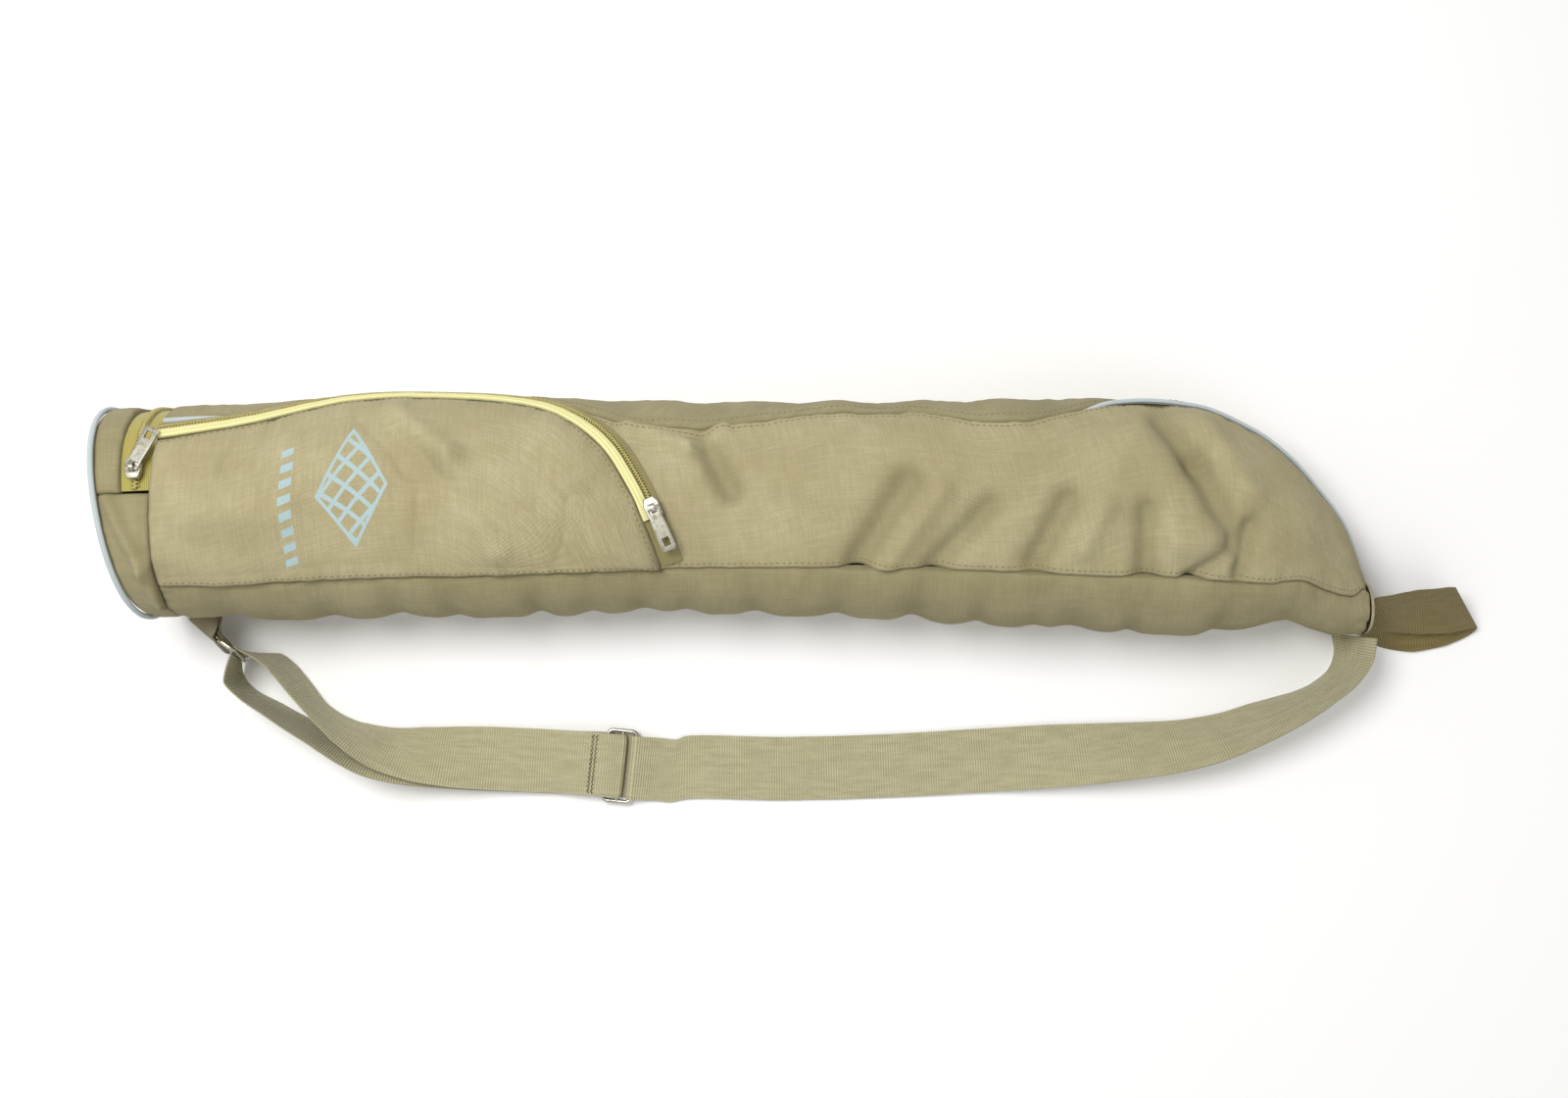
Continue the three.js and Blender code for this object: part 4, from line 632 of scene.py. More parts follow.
top_strip = cut_from_cloth(
    panel_places(between(level(MAIN_ZIP_ANGLE), bodyStart, farEnd, MAIN_ZIP_OPENING / 2), strip_top, 430, 40),
    relief=lambda point, at, angle, q: 1.1 * np.sin(at * 92) * np.sin(np.pi * q) * smooth(at, .3, .4), seed=71)
add_panel("top_strip", top_strip, SHADED_SIDE_FINISH)


# The band round the base, in two pieces that the main zip parts
def band_line(at, start, end):
    return lambda p: (np.full_like(p, at), start + (end - start) * p)


zipFarEdge = MAIN_ZIP_ANGLE - MAIN_ZIP_OPENING / 2
band_upper = cut_from_cloth(
    panel_places(band_line(.0004, zipFarEdge + 1, END_SEAM_ANGLE - .4),
                 band_line(zipAt - zipShare, zipFarEdge + 1, END_SEAM_ANGLE - .4), 90, 14), seed=81, rumple=0.7)
add_panel("end_band_upper", band_upper, SHADED_SIDE_FINISH)
band_lower = cut_from_cloth(
    panel_places(band_line(.0004, END_SEAM_ANGLE, 360 + zipFarEdge),
                 band_line(bodyStart - SEAM_GAP / BAG_LENGTH, END_SEAM_ANGLE, 360 + zipFarEdge), 240, 26),
    relief=lambda point, at, angle, q: fold_height(point, FOLDS["end_band"]), seed=91, rumple=0.7)
band_lower["points"][..., 2] = np.maximum(band_lower["points"][..., 2], 0)
add_panel("end_band_lower", band_lower, SHADED_SIDE_FINISH)


# Paths drawn on the body, for everything that is sewn along a curve
def path_frame(path, p):
    """Place, normal and the direction to the path's right on the body's surface."""
    p = np.asarray(p, float)
    before, after = path(np.maximum(0, p - .002)), path(np.minimum(1, p + .002))
    at, angle = path(p)
    normal = outward(at, angle)
    along = body(*after) - body(*before)
    along = unit(along - normal * (along * normal).sum(-1, keepdims=True))
    return at, angle, along, normal, np.cross(along, normal)


def beside(frame_, lateral):
    """The place a lateral distance from a path, solved in the surface's two directions."""
    at, angle, _, _, side = frame_
    a, r = slopes(at, angle)
    dot = lambda s, t: (s * t).sum(-1)
    uu, vv, uv, su, sv = dot(a, a), dot(r, r), dot(a, r), dot(side, a), dot(side, r)
    det = uu * vv - uv * uv
    return at + lateral * (su * vv - sv * uv) / det, angle + lateral * (sv * uu - su * uv) / det


def over(frame_, lateral, height):
    """Points and normals at a lateral distance from a path and a height over the body."""
    at, angle = beside(frame_, lateral)
    at = np.clip(at, 0, 1)
    normal = outward(at, angle)
    return body(at, angle) + normal * np.asarray(height)[..., None], normal


def strip_mesh(name, path, span, rows, section, lateral=0.0, lift=0.0, wave=None):
    """A closed section of (lateral, height) pairs carried along a path on the body."""
    p = np.linspace(*span, rows)
    frame_ = path_frame(path, p)
    wobble = wave(p) if wave else np.zeros(rows)
    columns = [over(frame_, x + lateral, z + lift + wobble)[0] for x, z in section]
    points = np.stack(columns, 1)
    uv = np.stack(np.broadcast_arrays(arc(points[:, 0], 0)[:, None], arc(np.array(section), 0)[None]), -1)
    count = len(section)
    faces = grid_faces(rows, count, close_columns=True)
    faces += [list(reversed(range(count))), [(rows - 1) * count + k for k in range(count)]]
    area = sum(a[0] * b[1] - a[1] * b[0] for a, b in zip(section, section[1:] + section[:1]))
    if area < 0:
        faces = [face[::-1] for face in faces]
    return make_mesh(name, points.reshape(-1, 3), faces, uv, sharp=45)


def crowned(width, thick, crown, count=9):
    """A flat strip's section with rounded edges and a slightly raised middle."""
    x = np.linspace(-1, 1, count)
    top = [(width / 2 * a, thick * (1 - 0.45 * abs(a) ** 6) + crown * (1 - a * a)) for a in x]
    return [(width / 2 * a, 0.0) for a in x[::-1]] + top


# Zip tape: fine herringbone rows; trim: a folded strip with lengthwise ribs;
# coil: nylon wound in small loops, one tooth beside the other.
def woven_tape(name, colour, dark, rib=1.0):
    m = Nodes(name, roughness=0.8, sheen=0.2, specular=0.2)
    u, v, _ = m.uv()
    rows = m.math("SINE", m.math("MULTIPLY", v, 2 * math.pi / rib))
    twill = m.math("SINE", m.math("MULTIPLY", m.math("ADD", u, m.math("MULTIPLY", v, 0.6)), 2 * math.pi / 0.9))
    cloud = m.noise(m.join(m.math("MULTIPLY", u, 0.08), v), 1.0, 3.0)
    height = m.math("ADD", m.math("MULTIPLY", rows, 0.6), m.math("MULTIPLY", twill, 0.3))
    mixed = m.mix(m.ramp(m.math("ADD", height, cloud), 0.9, -0.4, 0.0, 0.75), colour, dark)
    return m.finish(mixed, m.bump(height, 0.0002, 0.8))


TRIM_FINISH = woven_tape("pale_yellow_trim", tint(232, 227, 166), tint(196, 188, 122), 1.9)
TAPE_FINISH = woven_tape("olive_zip_tape", tint(150, 140, 94), tint(98, 90, 54), 1.0)
END_TAPE_FINISH = woven_tape("yellow_green_zip_tape", tint(190, 178, 98), tint(120, 110, 54), 1.0)
coil_nodes = Nodes("nylon_teeth", roughness=0.42, specular=0.5)
coil_grain = coil_nodes.noise(coil_nodes.place(), 700.0, 2.0)
TEETH_FINISH = coil_nodes.finish(coil_nodes.mix(coil_grain, tint(196, 184, 112), tint(138, 124, 66)),
                                 coil_nodes.bump(coil_grain, 0.00008))


def teeth_mesh(name, path, span, lateral, width, height, pitch, base, wire=0.42):
    """Two rows of bent nylon loops that meet in the middle, half a pitch apart."""
    steps = np.linspace(*span, 500)
    line = over(path_frame(path, steps), lateral, np.full(500, base))[0]
    run = arc(line, 0)
    vertices, faces = [], []
    count = int(run[-1] / pitch)
    for row in (-1, 1):
        spot = np.interp((np.arange(count) + (0.25 if row < 0 else 0.75)) * pitch, run, steps)
        frame_ = path_frame(path, spot)
        arch = [(-0.5, 0.1), (-0.36, 0.75), (-0.05, 1.0), (0.14, 0.8), (0.16, 0.2)]
        rings = []
        for x, z in arch:
            centre, normal = over(frame_, lateral + row * -x * width, base + z * height)
            rings.append(centre[:, None] + wire * (frame_[2][:, None] * np.cos(RING_TURN)[:, None] * 1.15
                                                   + normal[:, None] * np.sin(RING_TURN)[:, None]))
        block = np.stack(rings, 1)
        one = grid_faces(RINGS, SIDES, close_columns=True, flip=row > 0)
        one += [end[::-1] for end in RING_ENDS] if row > 0 else RING_ENDS
        start = sum(len(b) for b in vertices)
        faces += [[start + k * RINGS * SIDES + v for v in face] for k in range(count) for face in one]
        vertices.append(block.reshape(-1, 3))
    return make_mesh(name, np.concatenate(vertices), faces, sharp=60)


# The pocket: a second layer of canvas over the left of the front panel, held by
# the curved zip above, the lower seam below and the end band's seam at the left.
TRIM_WIDTH, POCKET_COIL_WIDTH, POCKET_TAPE_EDGE, POCKET_SLIDER_AT = 5.8, 3.2, 9.4, 0.87
POCKET_EASE, POCKET_PUFF, TAPE_THICK = 1.0, 3.0, 0.8
POCKET_ZIP["step"] = [i / (len(POCKET_ZIP["at"]) - 1) for i in range(len(POCKET_ZIP["at"]))]


def pocket_zip(p):
    return read(POCKET_ZIP, "at", p, "step"), read(POCKET_ZIP, "angle", p, "step")


def pocket_foot(p):
    first, last = POCKET_ZIP["at"][0], POCKET_ZIP["at"][-1] - .006
    return shifted(*seam(LOWER_SEAM)(first + (last - first) * p), 0, -1)


def pocket_relief(point, at, angle, q):
    puff = POCKET_PUFF * np.sin(np.pi * np.minimum(1, q * 1.1)) ** .7
    return np.maximum(0, puff + fold_height(point, FOLDS["pocket"]))


pocket = cut_from_cloth(
    panel_places(lambda p: beside(path_frame(pocket_zip, p), TRIM_WIDTH / 2 + CLEAR), pocket_foot, 320, 96),
    relief=pocket_relief, base=POCKET_EASE + CLOTH, seed=101, puckers=0.45)


# A plain printed ornament in silver blue: a column of short bars and a lattice of
# small diamonds, thin paint that lets the weave show and has worn in places.
PRINT_COLOUR = tint(172, 196, 200)
BARS = {"u": 76.0, "v": 62.0, "half_long": 33.0, "half_wide": 3.4, "pitch": 8.8, "bar": 0.52}
DIAMONDS = {"u": 112.0, "v": 62.0, "half_long": 34.0, "half_wide": 20.0, "pitch": 13.6, "line": 0.24}


def printed(m, u, v, colour, grain):
    def inside(value, middle, half):
        return m.ramp(m.math("ABSOLUTE", m.math("SUBTRACT", value, middle)), half + .25, half - .25)

    b, d = BARS, DIAMONDS
    row = m.math("ABSOLUTE", m.math("SUBTRACT", m.math("FRACT", m.math("DIVIDE", v, b["pitch"])), 0.5))
    bars = m.math("MULTIPLY", m.ramp(row, b["bar"] / 2 + .03, b["bar"] / 2 - .03),
                  m.math("MULTIPLY", inside(u, b["u"], b["half_wide"]), inside(v, b["v"], b["half_long"])))
    across = m.math("DIVIDE", m.math("ADD", u, v), d["pitch"])
    down = m.math("DIVIDE", m.math("SUBTRACT", u, v), d["pitch"])
    lines = [m.ramp(m.math("ABSOLUTE", m.math("SUBTRACT", m.math("FRACT", w), 0.5)), d["line"] / 2 + .04,
                    d["line"] / 2 - .04) for w in (across, down)]
    # the lattice ends in a long lozenge: |u - u0| / wide + |v - v0| / long < 1
    reach = m.math("ADD", m.math("DIVIDE", m.math("ABSOLUTE", m.math("SUBTRACT", u, d["u"])), d["half_wide"]),
                   m.math("DIVIDE", m.math("ABSOLUTE", m.math("SUBTRACT", v, d["v"])), d["half_long"]))
    lattice = m.math("MULTIPLY", m.math("MAXIMUM", *lines), m.ramp(reach, 1.01, 0.99))
    rim = m.math("MULTIPLY", m.ramp(reach, 1.01, 0.99), m.ramp(reach, 0.89, 0.91))
    paint = m.math("MAXIMUM", bars, m.math("MAXIMUM", lattice, rim), clamp=True)
    worn = m.ramp(grain, 0.30, 0.46, 0.35, 0.95)
    return m.mix(m.math("MULTIPLY", paint, worn), colour, PRINT_COLOUR)


add_panel("pocket_panel", pocket, canvas("printed_canvas", printed=printed), hem=1.9)

# The pocket's zip: olive tape under it, the pale trim beside the pocket's edge, the
# coil beside the trim. The trim and the coil stop at the slider.
trim_level = POCKET_EASE + TAPE_THICK + CLEAR
coil_middle = -TRIM_WIDTH / 2 - CLEAR - POCKET_COIL_WIDTH / 2
tape_width = POCKET_TAPE_EDGE + TRIM_WIDTH / 2
add("pocket_zip_tape",
    strip_mesh("pocket_zip_tape", pocket_zip, (0, 1), 260, crowned(tape_width, TAPE_THICK, 0.05, 7),
               lateral=(TRIM_WIDTH / 2 - POCKET_TAPE_EDGE) / 2, lift=POCKET_EASE),
    TAPE_FINISH, replaces=["pocket_zip_tape"])
add("pocket_zip_trim",
    strip_mesh("pocket_zip_trim", pocket_zip, (0, POCKET_SLIDER_AT), 320, crowned(TRIM_WIDTH, 1.5, 0.5, 13),
               lift=trim_level, wave=lambda p: 0.12 * ripple(p * 400, 0 * p, 5, 3)),
    TRIM_FINISH, replaces=["pocket_zip_trim"])
add("pocket_zip_teeth",
    teeth_mesh("pocket_zip_teeth", pocket_zip, (0, POCKET_SLIDER_AT), coil_middle, POCKET_COIL_WIDTH * .9, 1.25, 1.7,
               trim_level), TEETH_FINISH, replaces=["pocket_zip_coil"])

# The main zip: it starts in the end band, climbs round the base, bends and runs
# along the far side, set below the canvas in its opening.
ZIP_TAPE_HALF, ZIP_COIL_WIDTH, ZIP_TURN_RADIUS = 9.5, 5.0, 14.0
zip_degree = float(np.linalg.norm(slopes(zipAt, 30.0)[1]))
zip_start = END_SEAM_ANGLE - 1.5
zip_rise = (zip_start - MAIN_ZIP_ANGLE) * zip_degree - ZIP_TURN_RADIUS
zip_bend = math.pi / 2 * ZIP_TURN_RADIUS
zip_run = (MAIN_ZIP_END - zipAt) * BAG_LENGTH - ZIP_TURN_RADIUS
zip_total = zip_rise + zip_bend + zip_run


def main_zip(p):
    distance = np.asarray(p) * zip_total
    turned = np.clip((distance - zip_rise) / ZIP_TURN_RADIUS, 0, math.pi / 2)
    straight = np.maximum(0, distance - zip_rise - zip_bend)
    down = np.minimum(distance, zip_rise) + ZIP_TURN_RADIUS * np.sin(turned)
    lengthwise = ZIP_TURN_RADIUS * (1 - np.cos(turned)) + straight
    return zipAt + lengthwise / BAG_LENGTH, zip_start - down / zip_degree


tape_top = -CLOTH - 2 * CLEAR
add("main_zip_tape",
    strip_mesh("main_zip_tape", main_zip, (0, 1), 520, crowned(2 * ZIP_TAPE_HALF, TAPE_THICK, 0, 9),
               lift=tape_top - TAPE_THICK), END_TAPE_FINISH, replaces=["main_zip_tape"])
add("main_zip_teeth",
    teeth_mesh("main_zip_teeth", main_zip, (0.001, .999), 0, ZIP_COIL_WIDTH * .9, 1.6, 2.1, tape_top + CLEAR, .5),
    TEETH_FINISH, replaces=["main_zip_coil"])

# Piping: a cord inside a bias strip of pale grey-blue cotton, along the front
# panel's far seam and round the rim of the base.
piping_nodes = Nodes("piping_cotton", roughness=0.75, sheen=0.2)
pu, pv, _ = piping_nodes.uv()
twist = piping_nodes.math("SINE", piping_nodes.math("MULTIPLY", piping_nodes.math("ADD", pu, pv), 2 * math.pi / 0.9))
PIPING_FINISH = piping_nodes.finish(
    piping_nodes.mix(piping_nodes.ramp(twist, -1, 1), tint(186, 198, 200), tint(214, 222, 222)),
    piping_nodes.bump(twist, 0.00012))
PIPING_RISE = {"at": [0, .06, .09, .13, .735, .785, 1], "rise": [.35, .35, -1.4, -2.8, -2.8, .35, .35]}
piping_at = np.linspace(bodyStart + .002, bodyEnd - .004, 500)
piping_angle = read(FRONT_SEAM, "angle", piping_at)
piping_normal = outward(piping_at, piping_angle)
piping_line = body(piping_at, piping_angle) + piping_normal * (read(PIPING_RISE, "rise", piping_at)
                                                               * PIPING_RADIUS)[:, None]
points, faces, uv = tube(piping_line, PIPING_RADIUS, 12, up=piping_normal)
add("edge_piping", make_mesh("edge_piping", points, faces, uv), PIPING_FINISH, replaces=["edge_piping"])


def rim_line(inset, floor_level, count, push):
    """The base's outline drawn in by an inset, pushed out along the base's axis."""
    angle = np.linspace(0, 360, count, endpoint=False)
    p = body(np.zeros(count), angle)
    flat = np.stack([p[:, 1], p[:, 2] - BAG_HEIGHT / 2], 1)
    flat *= 1 - inset / np.linalg.norm(flat, axis=1, keepdims=True)
    z = np.maximum(BAG_HEIGHT / 2 + flat[:, 1], floor_level)
    line = np.stack([p[:, 0] + BASE_SKEW * (p[:, 1] - flat[:, 0]), flat[:, 0], z], 1)
    return line + push * unit(np.array([-1, -BASE_SKEW, 0]))


rim = rim_line(.3, PIPING_RADIUS, 220, PIPING_RADIUS + SEAM_GAP)
points, faces, uv = tube(rim, PIPING_RADIUS, 12, closed=True, up=np.array([-1, -BASE_SKEW, 0]))
points[:, 2] = np.maximum(points[:, 2], 0)
add("base_piping", make_mesh("base_piping", points, faces, uv), PIPING_FINISH, replaces=["base_piping"])

# The round base and the small patch that closes the pointed end
BASE_DOME = 4.0


def disc_mesh(name, outline, dome, thick, turns=40):
    """Rings from the outline to its centre, raised by dome * (1 - share^2)."""
    centre = outline.mean(0)
    share = np.linspace(1, 0.02, turns)[:, None, None]
    face = centre + (outline[None] - centre) * share + np.asarray(dome) * (1 - share**2)
    face = face - 0.8 * unit(np.asarray(dome)) * np.exp(-((1 - share) / .03) ** 2)
    rim_ = outline[None] - np.asarray(thick)
    points = np.concatenate([rim_, face])
    faces = grid_faces(len(points), outline.shape[0], close_columns=True)
    count = outline.shape[0]
    last = (len(points) - 1) * count
    faces.append([last + k for k in range(count)][::-1])
    uv = np.stack([points[..., 1], points[..., 2]], -1)
    n = np.cross(face[5, 1] - face[5, 0], face[6, 0] - face[5, 0])
    if np.dot(n, dome) > 0:
        faces = [f[::-1] for f in faces]
    return make_mesh(name, points.reshape(-1, 3), faces, uv, sharp=70)


cap = rim_line(.3 + PIPING_RADIUS + 2 * SEAM_GAP, 2 * PIPING_RADIUS + 2 * SEAM_GAP, 200, 0) - [SEAM_GAP + CLOTH, 0, 0]
add("base_disc", disc_mesh("base_disc", cap, (-BASE_DOME, 0, 0), (-CLOTH, 0, 0)), CLOTH_FINISH,
    replaces=["base_disc"])
tip_outline = body(np.full(96, bodyEnd), np.linspace(0, 360, 96, endpoint=False)) + [2 * SEAM_GAP + CLOTH, 0, 0]
add("tip_patch", disc_mesh("tip_patch", tip_outline, (1, 0, 0), (CLOTH, 0, 0), 20), CLOTH_FINISH,
    replaces=["tip_patch"])

# Rows of top stitching beside the seams: the cloth, the distance from its edge,
# whether that is its far edge, and the shares of its length where a row runs.
TOP_STITCHING = {
    "front_seam_stitches": [(front, 3.2, False, .34, .995)],
    "lower_seam_stitches": [(front, 3.2, True, .40, .99), (pocket, 2.6, True, .01, .98)],
    "strip_stitches": [(top_strip, 5.5, True, .3, .97)],
    "pocket_zip_stitches": [(pocket, 2.6, False, .01, .97)],
}
for name, rows in TOP_STITCHING.items():
    sewn_piece(name, [edge_line(*row) for row in rows])


# Webbing: a ribbon carried through stations, each with its middle and the
# direction of its width, on one centripetal curve.
WEBBING_WIDTH, WEBBING_THICK, WEBBING_PLAY, STRAP_REACH = 38.0, 1.5, 1.0, 151.0
WIRE, RING_GAP, ADJUSTER_PITCH, HANG_LOOP_REACH = 2.6, 8.4, 8.6, 62.0
WRAP_RADIUS = WIRE / 2 + CLEAR + WEBBING_THICK / 2
SLOT = WEBBING_WIDTH + 2 * WEBBING_PLAY
UP = np.array([0, 0, 1.0])


def vec(x, y, z):
    return np.array([x, y, z], float)


def filled(stations, step):
    """Stations no further apart than step: Hermite spans with centripetal tangents."""
    p = [s[0] for s in stations]
    p = [2 * p[0] - p[1]] + p + [2 * p[-1] - p[-2]]
    middles, widths = [], []
    for i in range(len(stations) - 1):
        a, b, c, d = p[i:i + 4]
        d1 = max(np.linalg.norm(c - b) ** .5, 1e-4)
        d0, d2 = (max(np.linalg.norm(v) ** .5, 1e-4) for v in (b - a, d - c))
        m1 = ((b - a) / d0 - (c - a) / (d0 + d1) + (c - b) / d1) * d1
        m2 = ((c - b) / d1 - (d - b) / (d1 + d2) + (d - c) / d2) * d1
        count = max(1, math.ceil(np.linalg.norm(c - b) / step))
        for k in range(count):
            t = k / count
            middles.append((2 * t**3 - 3 * t**2 + 1) * b + (t**3 - 2 * t**2 + t) * m1
                           + (3 * t**2 - 2 * t**3) * c + (t**3 - t**2) * m2)
            widths.append(unit(stations[i][1] * (1 - t) + stations[i + 1][1] * t))
    return np.array(middles + [stations[-1][0]]), np.array(widths + [stations[-1][1]])


RIBBON_POINTS, RIBBON_WAVE = 17, 0.25


def ribbon(name, stations, step=2.0, seed=1):
    """The webbing's skin: a flat section with rounded edges that stays slightly wavy."""
    middle, width = filled(stations, step)
    normal = unit(np.cross(np.gradient(middle, axis=0), width))
    run = arc(middle, 0)
    x, z = np.array(crowned(WEBBING_WIDTH, WEBBING_THICK, 0.0, RIBBON_POINTS)).T
    ease = RIBBON_WAVE * ripple(run[:, None], x[None], 16, seed)
    points = middle[:, None] + width[:, None] * x[None, :, None] + normal[:, None] * (
        z - WEBBING_THICK / 2 + ease)[..., None]
    uv = np.stack(np.broadcast_arrays(run[:, None], (x + 40 * (z > WEBBING_THICK / 2))[None]), -1)
    rows, columns = points.shape[:2]
    last = (rows - 1) * columns
    faces = grid_faces(rows, columns, close_columns=True)
    faces += [list(range(columns))[::-1], [last + k for k in range(columns)]]
    return make_mesh(name, points.reshape(-1, 3), faces, uv, sharp=60)


def run_stations(rows, across):
    """Stations of a run: (along, out, rise, tilt) and the sign of its width to the right."""
    middle = []
    for along, out, rise, tilt in rows:
        lean = math.radians(tilt)
        resting = (WEBBING_WIDTH * math.sin(lean) + WEBBING_THICK * math.cos(lean)) / 2
        middle.append(vec(along * BAG_LENGTH, -out * STRAP_REACH, max(rise * WEBBING_WIDTH, resting + .8)))
    stations = []
    for i, row in enumerate(rows):
        d = middle[min(len(rows) - 1, i + 1)] - middle[max(0, i - 1)]
        lean, right = math.radians(row[3]), unit(vec(d[1], -d[0], 0))
        stations.append((middle[i], right * across * math.cos(lean) + UP * math.sin(lean)))
    return stations


def wrap(centre, axis, e1, e2, start, end, count, width=None):
    width = axis if width is None else width
    turns = np.radians(np.linspace(start, end, count + 1))
    return [(centre + WRAP_RADIUS * (e1 * math.cos(t) + e2 * math.sin(t)), width) for t in turns]


UPPER_RUN = [(-.172, .984, .16, 0), (-.22, .972, .2, 10), (-.259, .959, .34, 29), (-.283, .946, .42, 39),
             (-.311, .921, .46, 55), (-.3386, .863, 0, 74), (-.352, .819, 0, 81), (-.365, .766, 0, 85),
             (-.379, .686, 0, 83), (-.392, .612, 0, 83), (-.404, .564, 0, 85)]
LOWER_RUN = [(-.4343, .649, 0, 88), (-.4248, .705, 0, 89), (-.4039, .766, 0, 86), (-.3838, .823, 0, 83),
             (-.3651, .873, 0, 80), (-.352, .905, 0, 76), (-.3381, .934, 0, 70), (-.3205, .957, 0, 59),
             (-.302, .964, 0, 46), (-.281, .965, 0, 33), (-.2575, .968, 0, 20), (-.225, .977, 0, 6),
             (-.195, .984, 0, 0), (-.165, .99, 0, 0)]
RIGHT_RUN = [(-.06, 1.012, 0, 0), (.022, 1.016, 0, 0), (.105, 1.006, 0, 0), (.188, .983, 0, 3),
             (.245, .964, 0, 15), (.31, .939, 0, 34), (.357, .913, 0, 45), (.389, .875, 0, 53),
             (.422, .816, 0, 61), (.454, .75, 0, 72), (.47, .706, 0, 77), (.4865, .642, 0, 77),
             (.4955, .564, 0, 71), (.4965, .482, 0, 65)]

# The wire ring stands on its end, leaning towards the bag
ring_turn, ring_lean = math.radians(-35), math.radians(14)
ring_short = vec(math.cos(ring_turn), math.sin(ring_turn), 0)
ring_long = math.sin(ring_lean) * vec(-ring_short[1], ring_short[0], 0) + UP * math.cos(ring_lean)
ring_across = ring_short
ring_middle = vec(-.4345 * BAG_LENGTH, -.536 * STRAP_REACH, (SLOT / 2 + WIRE) * math.cos(ring_lean) + WIRE / 2)
bar_offset = (RING_GAP + WIRE) / 2
tab_bar, strap_bar = ring_middle - bar_offset * ring_across, ring_middle + bar_offset * ring_across
plan_x = unit(vec(1, 0, 0) - ring_long * ring_long[0])
plan_y = np.cross(ring_long, plan_x)

# The adjuster lies flat on the strap
adjuster_turn = math.radians(-6)
lower_ply = WEBBING_THICK / 2 + .05
adjuster_middle = vec(-.116 * BAG_LENGTH, -1.003 * STRAP_REACH, lower_ply + WEBBING_THICK + CLEAR + WRAP_RADIUS)
strap_on = vec(math.cos(adjuster_turn), math.sin(adjuster_turn), 0)
strap_far = vec(-math.sin(adjuster_turn), math.cos(adjuster_turn), 0)
strap_near = -strap_far
ply_step, floor_level, SEWN_END = WEBBING_THICK + CLEAR, lower_ply - adjuster_middle[2], 19.0


def in_adjuster(x, z, width):
    return adjuster_middle + strap_on * x + UP * z, width


def around_bar(x, start, end, count, width):
    return wrap(adjuster_middle + strap_on * x, strap_far, strap_on, UP, start, end, count, width)


P = ADJUSTER_PITCH
sewn_end = [in_adjuster(-SEWN_END, WRAP_RADIUS, strap_near), *around_bar(-P, 90, 50, 4, strap_near),
            *around_bar(0, 230, 450, 14, strap_near), in_adjuster(-P, WRAP_RADIUS + ply_step, strap_near),
            in_adjuster(-SEWN_END, WRAP_RADIUS + ply_step, strap_near)]
through_slot = [in_adjuster(-P - 2, floor_level, strap_near), in_adjuster(1, floor_level, strap_near),
                in_adjuster(P / 2, floor_level + .6, strap_near),
                in_adjuster(P - WRAP_RADIUS - .4, floor_level + 2.1, strap_near),
                *around_bar(P, 180, 62, 8, strap_near), in_adjuster(P + 6, floor_level + 4.2, strap_near),
                in_adjuster(P + 14, floor_level + 1.2, strap_near), in_adjuster(P + 24, floor_level, strap_near)]
route = [*sewn_end, *run_stations(UPPER_RUN, -1), *wrap(strap_bar, ring_long, plan_x, plan_y, 72, 205, 10),
         *run_stations(LOWER_RUN, 1), *through_slot, *run_stations(RIGHT_RUN, 1)]


# Ribbed webbing: fine raised ribs across its width, staggered in rows along it
def webbing(name, colour, dark):
    m = Nodes(name, roughness=0.78, sheen=0.2, specular=0.25)
    u, v, _ = m.uv()
    row = m.math("SINE", m.math("MULTIPLY", v, 2 * math.pi / 2.4))
    rib = m.math("SINE", m.math("ADD", m.math("MULTIPLY", u, 2 * math.pi / 1.5), m.math("MULTIPLY", row, 0.55)))
    cloud = m.noise(m.join(m.math("MULTIPLY", u, 0.06), m.math("MULTIPLY", v, 0.35)), 1.0, 3.0, 0.6)
    grain = m.noise(m.join(u, v), 1.6, 2.0)
    base = m.mix(m.ramp(rib, 0.1, -0.95, 0.0, 0.55), colour, dark)
    base = m.mix(m.ramp(m.math("ADD", cloud, m.math("MULTIPLY", grain, 0.5)), 0.95, 0.55, 0.0, 0.35), base, dark)
    height = m.math("ADD", rib, m.math("MULTIPLY", grain, 0.6))
    return m.finish(base, m.bump(height, 0.00026, 0.9))


WEBBING_FINISH = webbing("ribbed_webbing", tint(198, 192, 156), tint(140, 133, 96))
# painted shade: a darker copy of the webbing for the tab and the hang loop, which lie in shade
SHADED_WEBBING_FINISH = webbing("ribbed_webbing_shaded", tint(136, 120, 70), tint(88, 76, 38))
add("strap", ribbon("strap", route), WEBBING_FINISH, replaces=["strap"])

# Two rows of dark zig-zag stitching hold the strap's sewn end
ZIGZAG_ROWS, ZIGZAG_STEPS, ZIGZAG_REACH = (2.0, 4.2), 26, 0.55
stitches = []
zigzag_level = WRAP_RADIUS + ply_step + WEBBING_THICK / 2 + .1
for row in ZIGZAG_ROWS:
    stitches.append(np.array([
        in_adjuster(-SEWN_END + row + ZIGZAG_REACH * (-1) ** k, zigzag_level, UP)[0]
        + strap_far * (k / ZIGZAG_STEPS - .5) * .92 * WEBBING_WIDTH for k in range(ZIGZAG_STEPS + 1)]))
points, faces = np.zeros((0, 3)), []
for line in stitches:
    v, f, _ = tube(line, 0.35, 8, up=UP)
    faces += [[len(points) + k for k in one] for one in f]
    points = np.concatenate([points, v])
add("strap_end_stitches", make_mesh("strap_end_stitches", points, faces), thread("dark_thread", tint(74, 66, 44)))

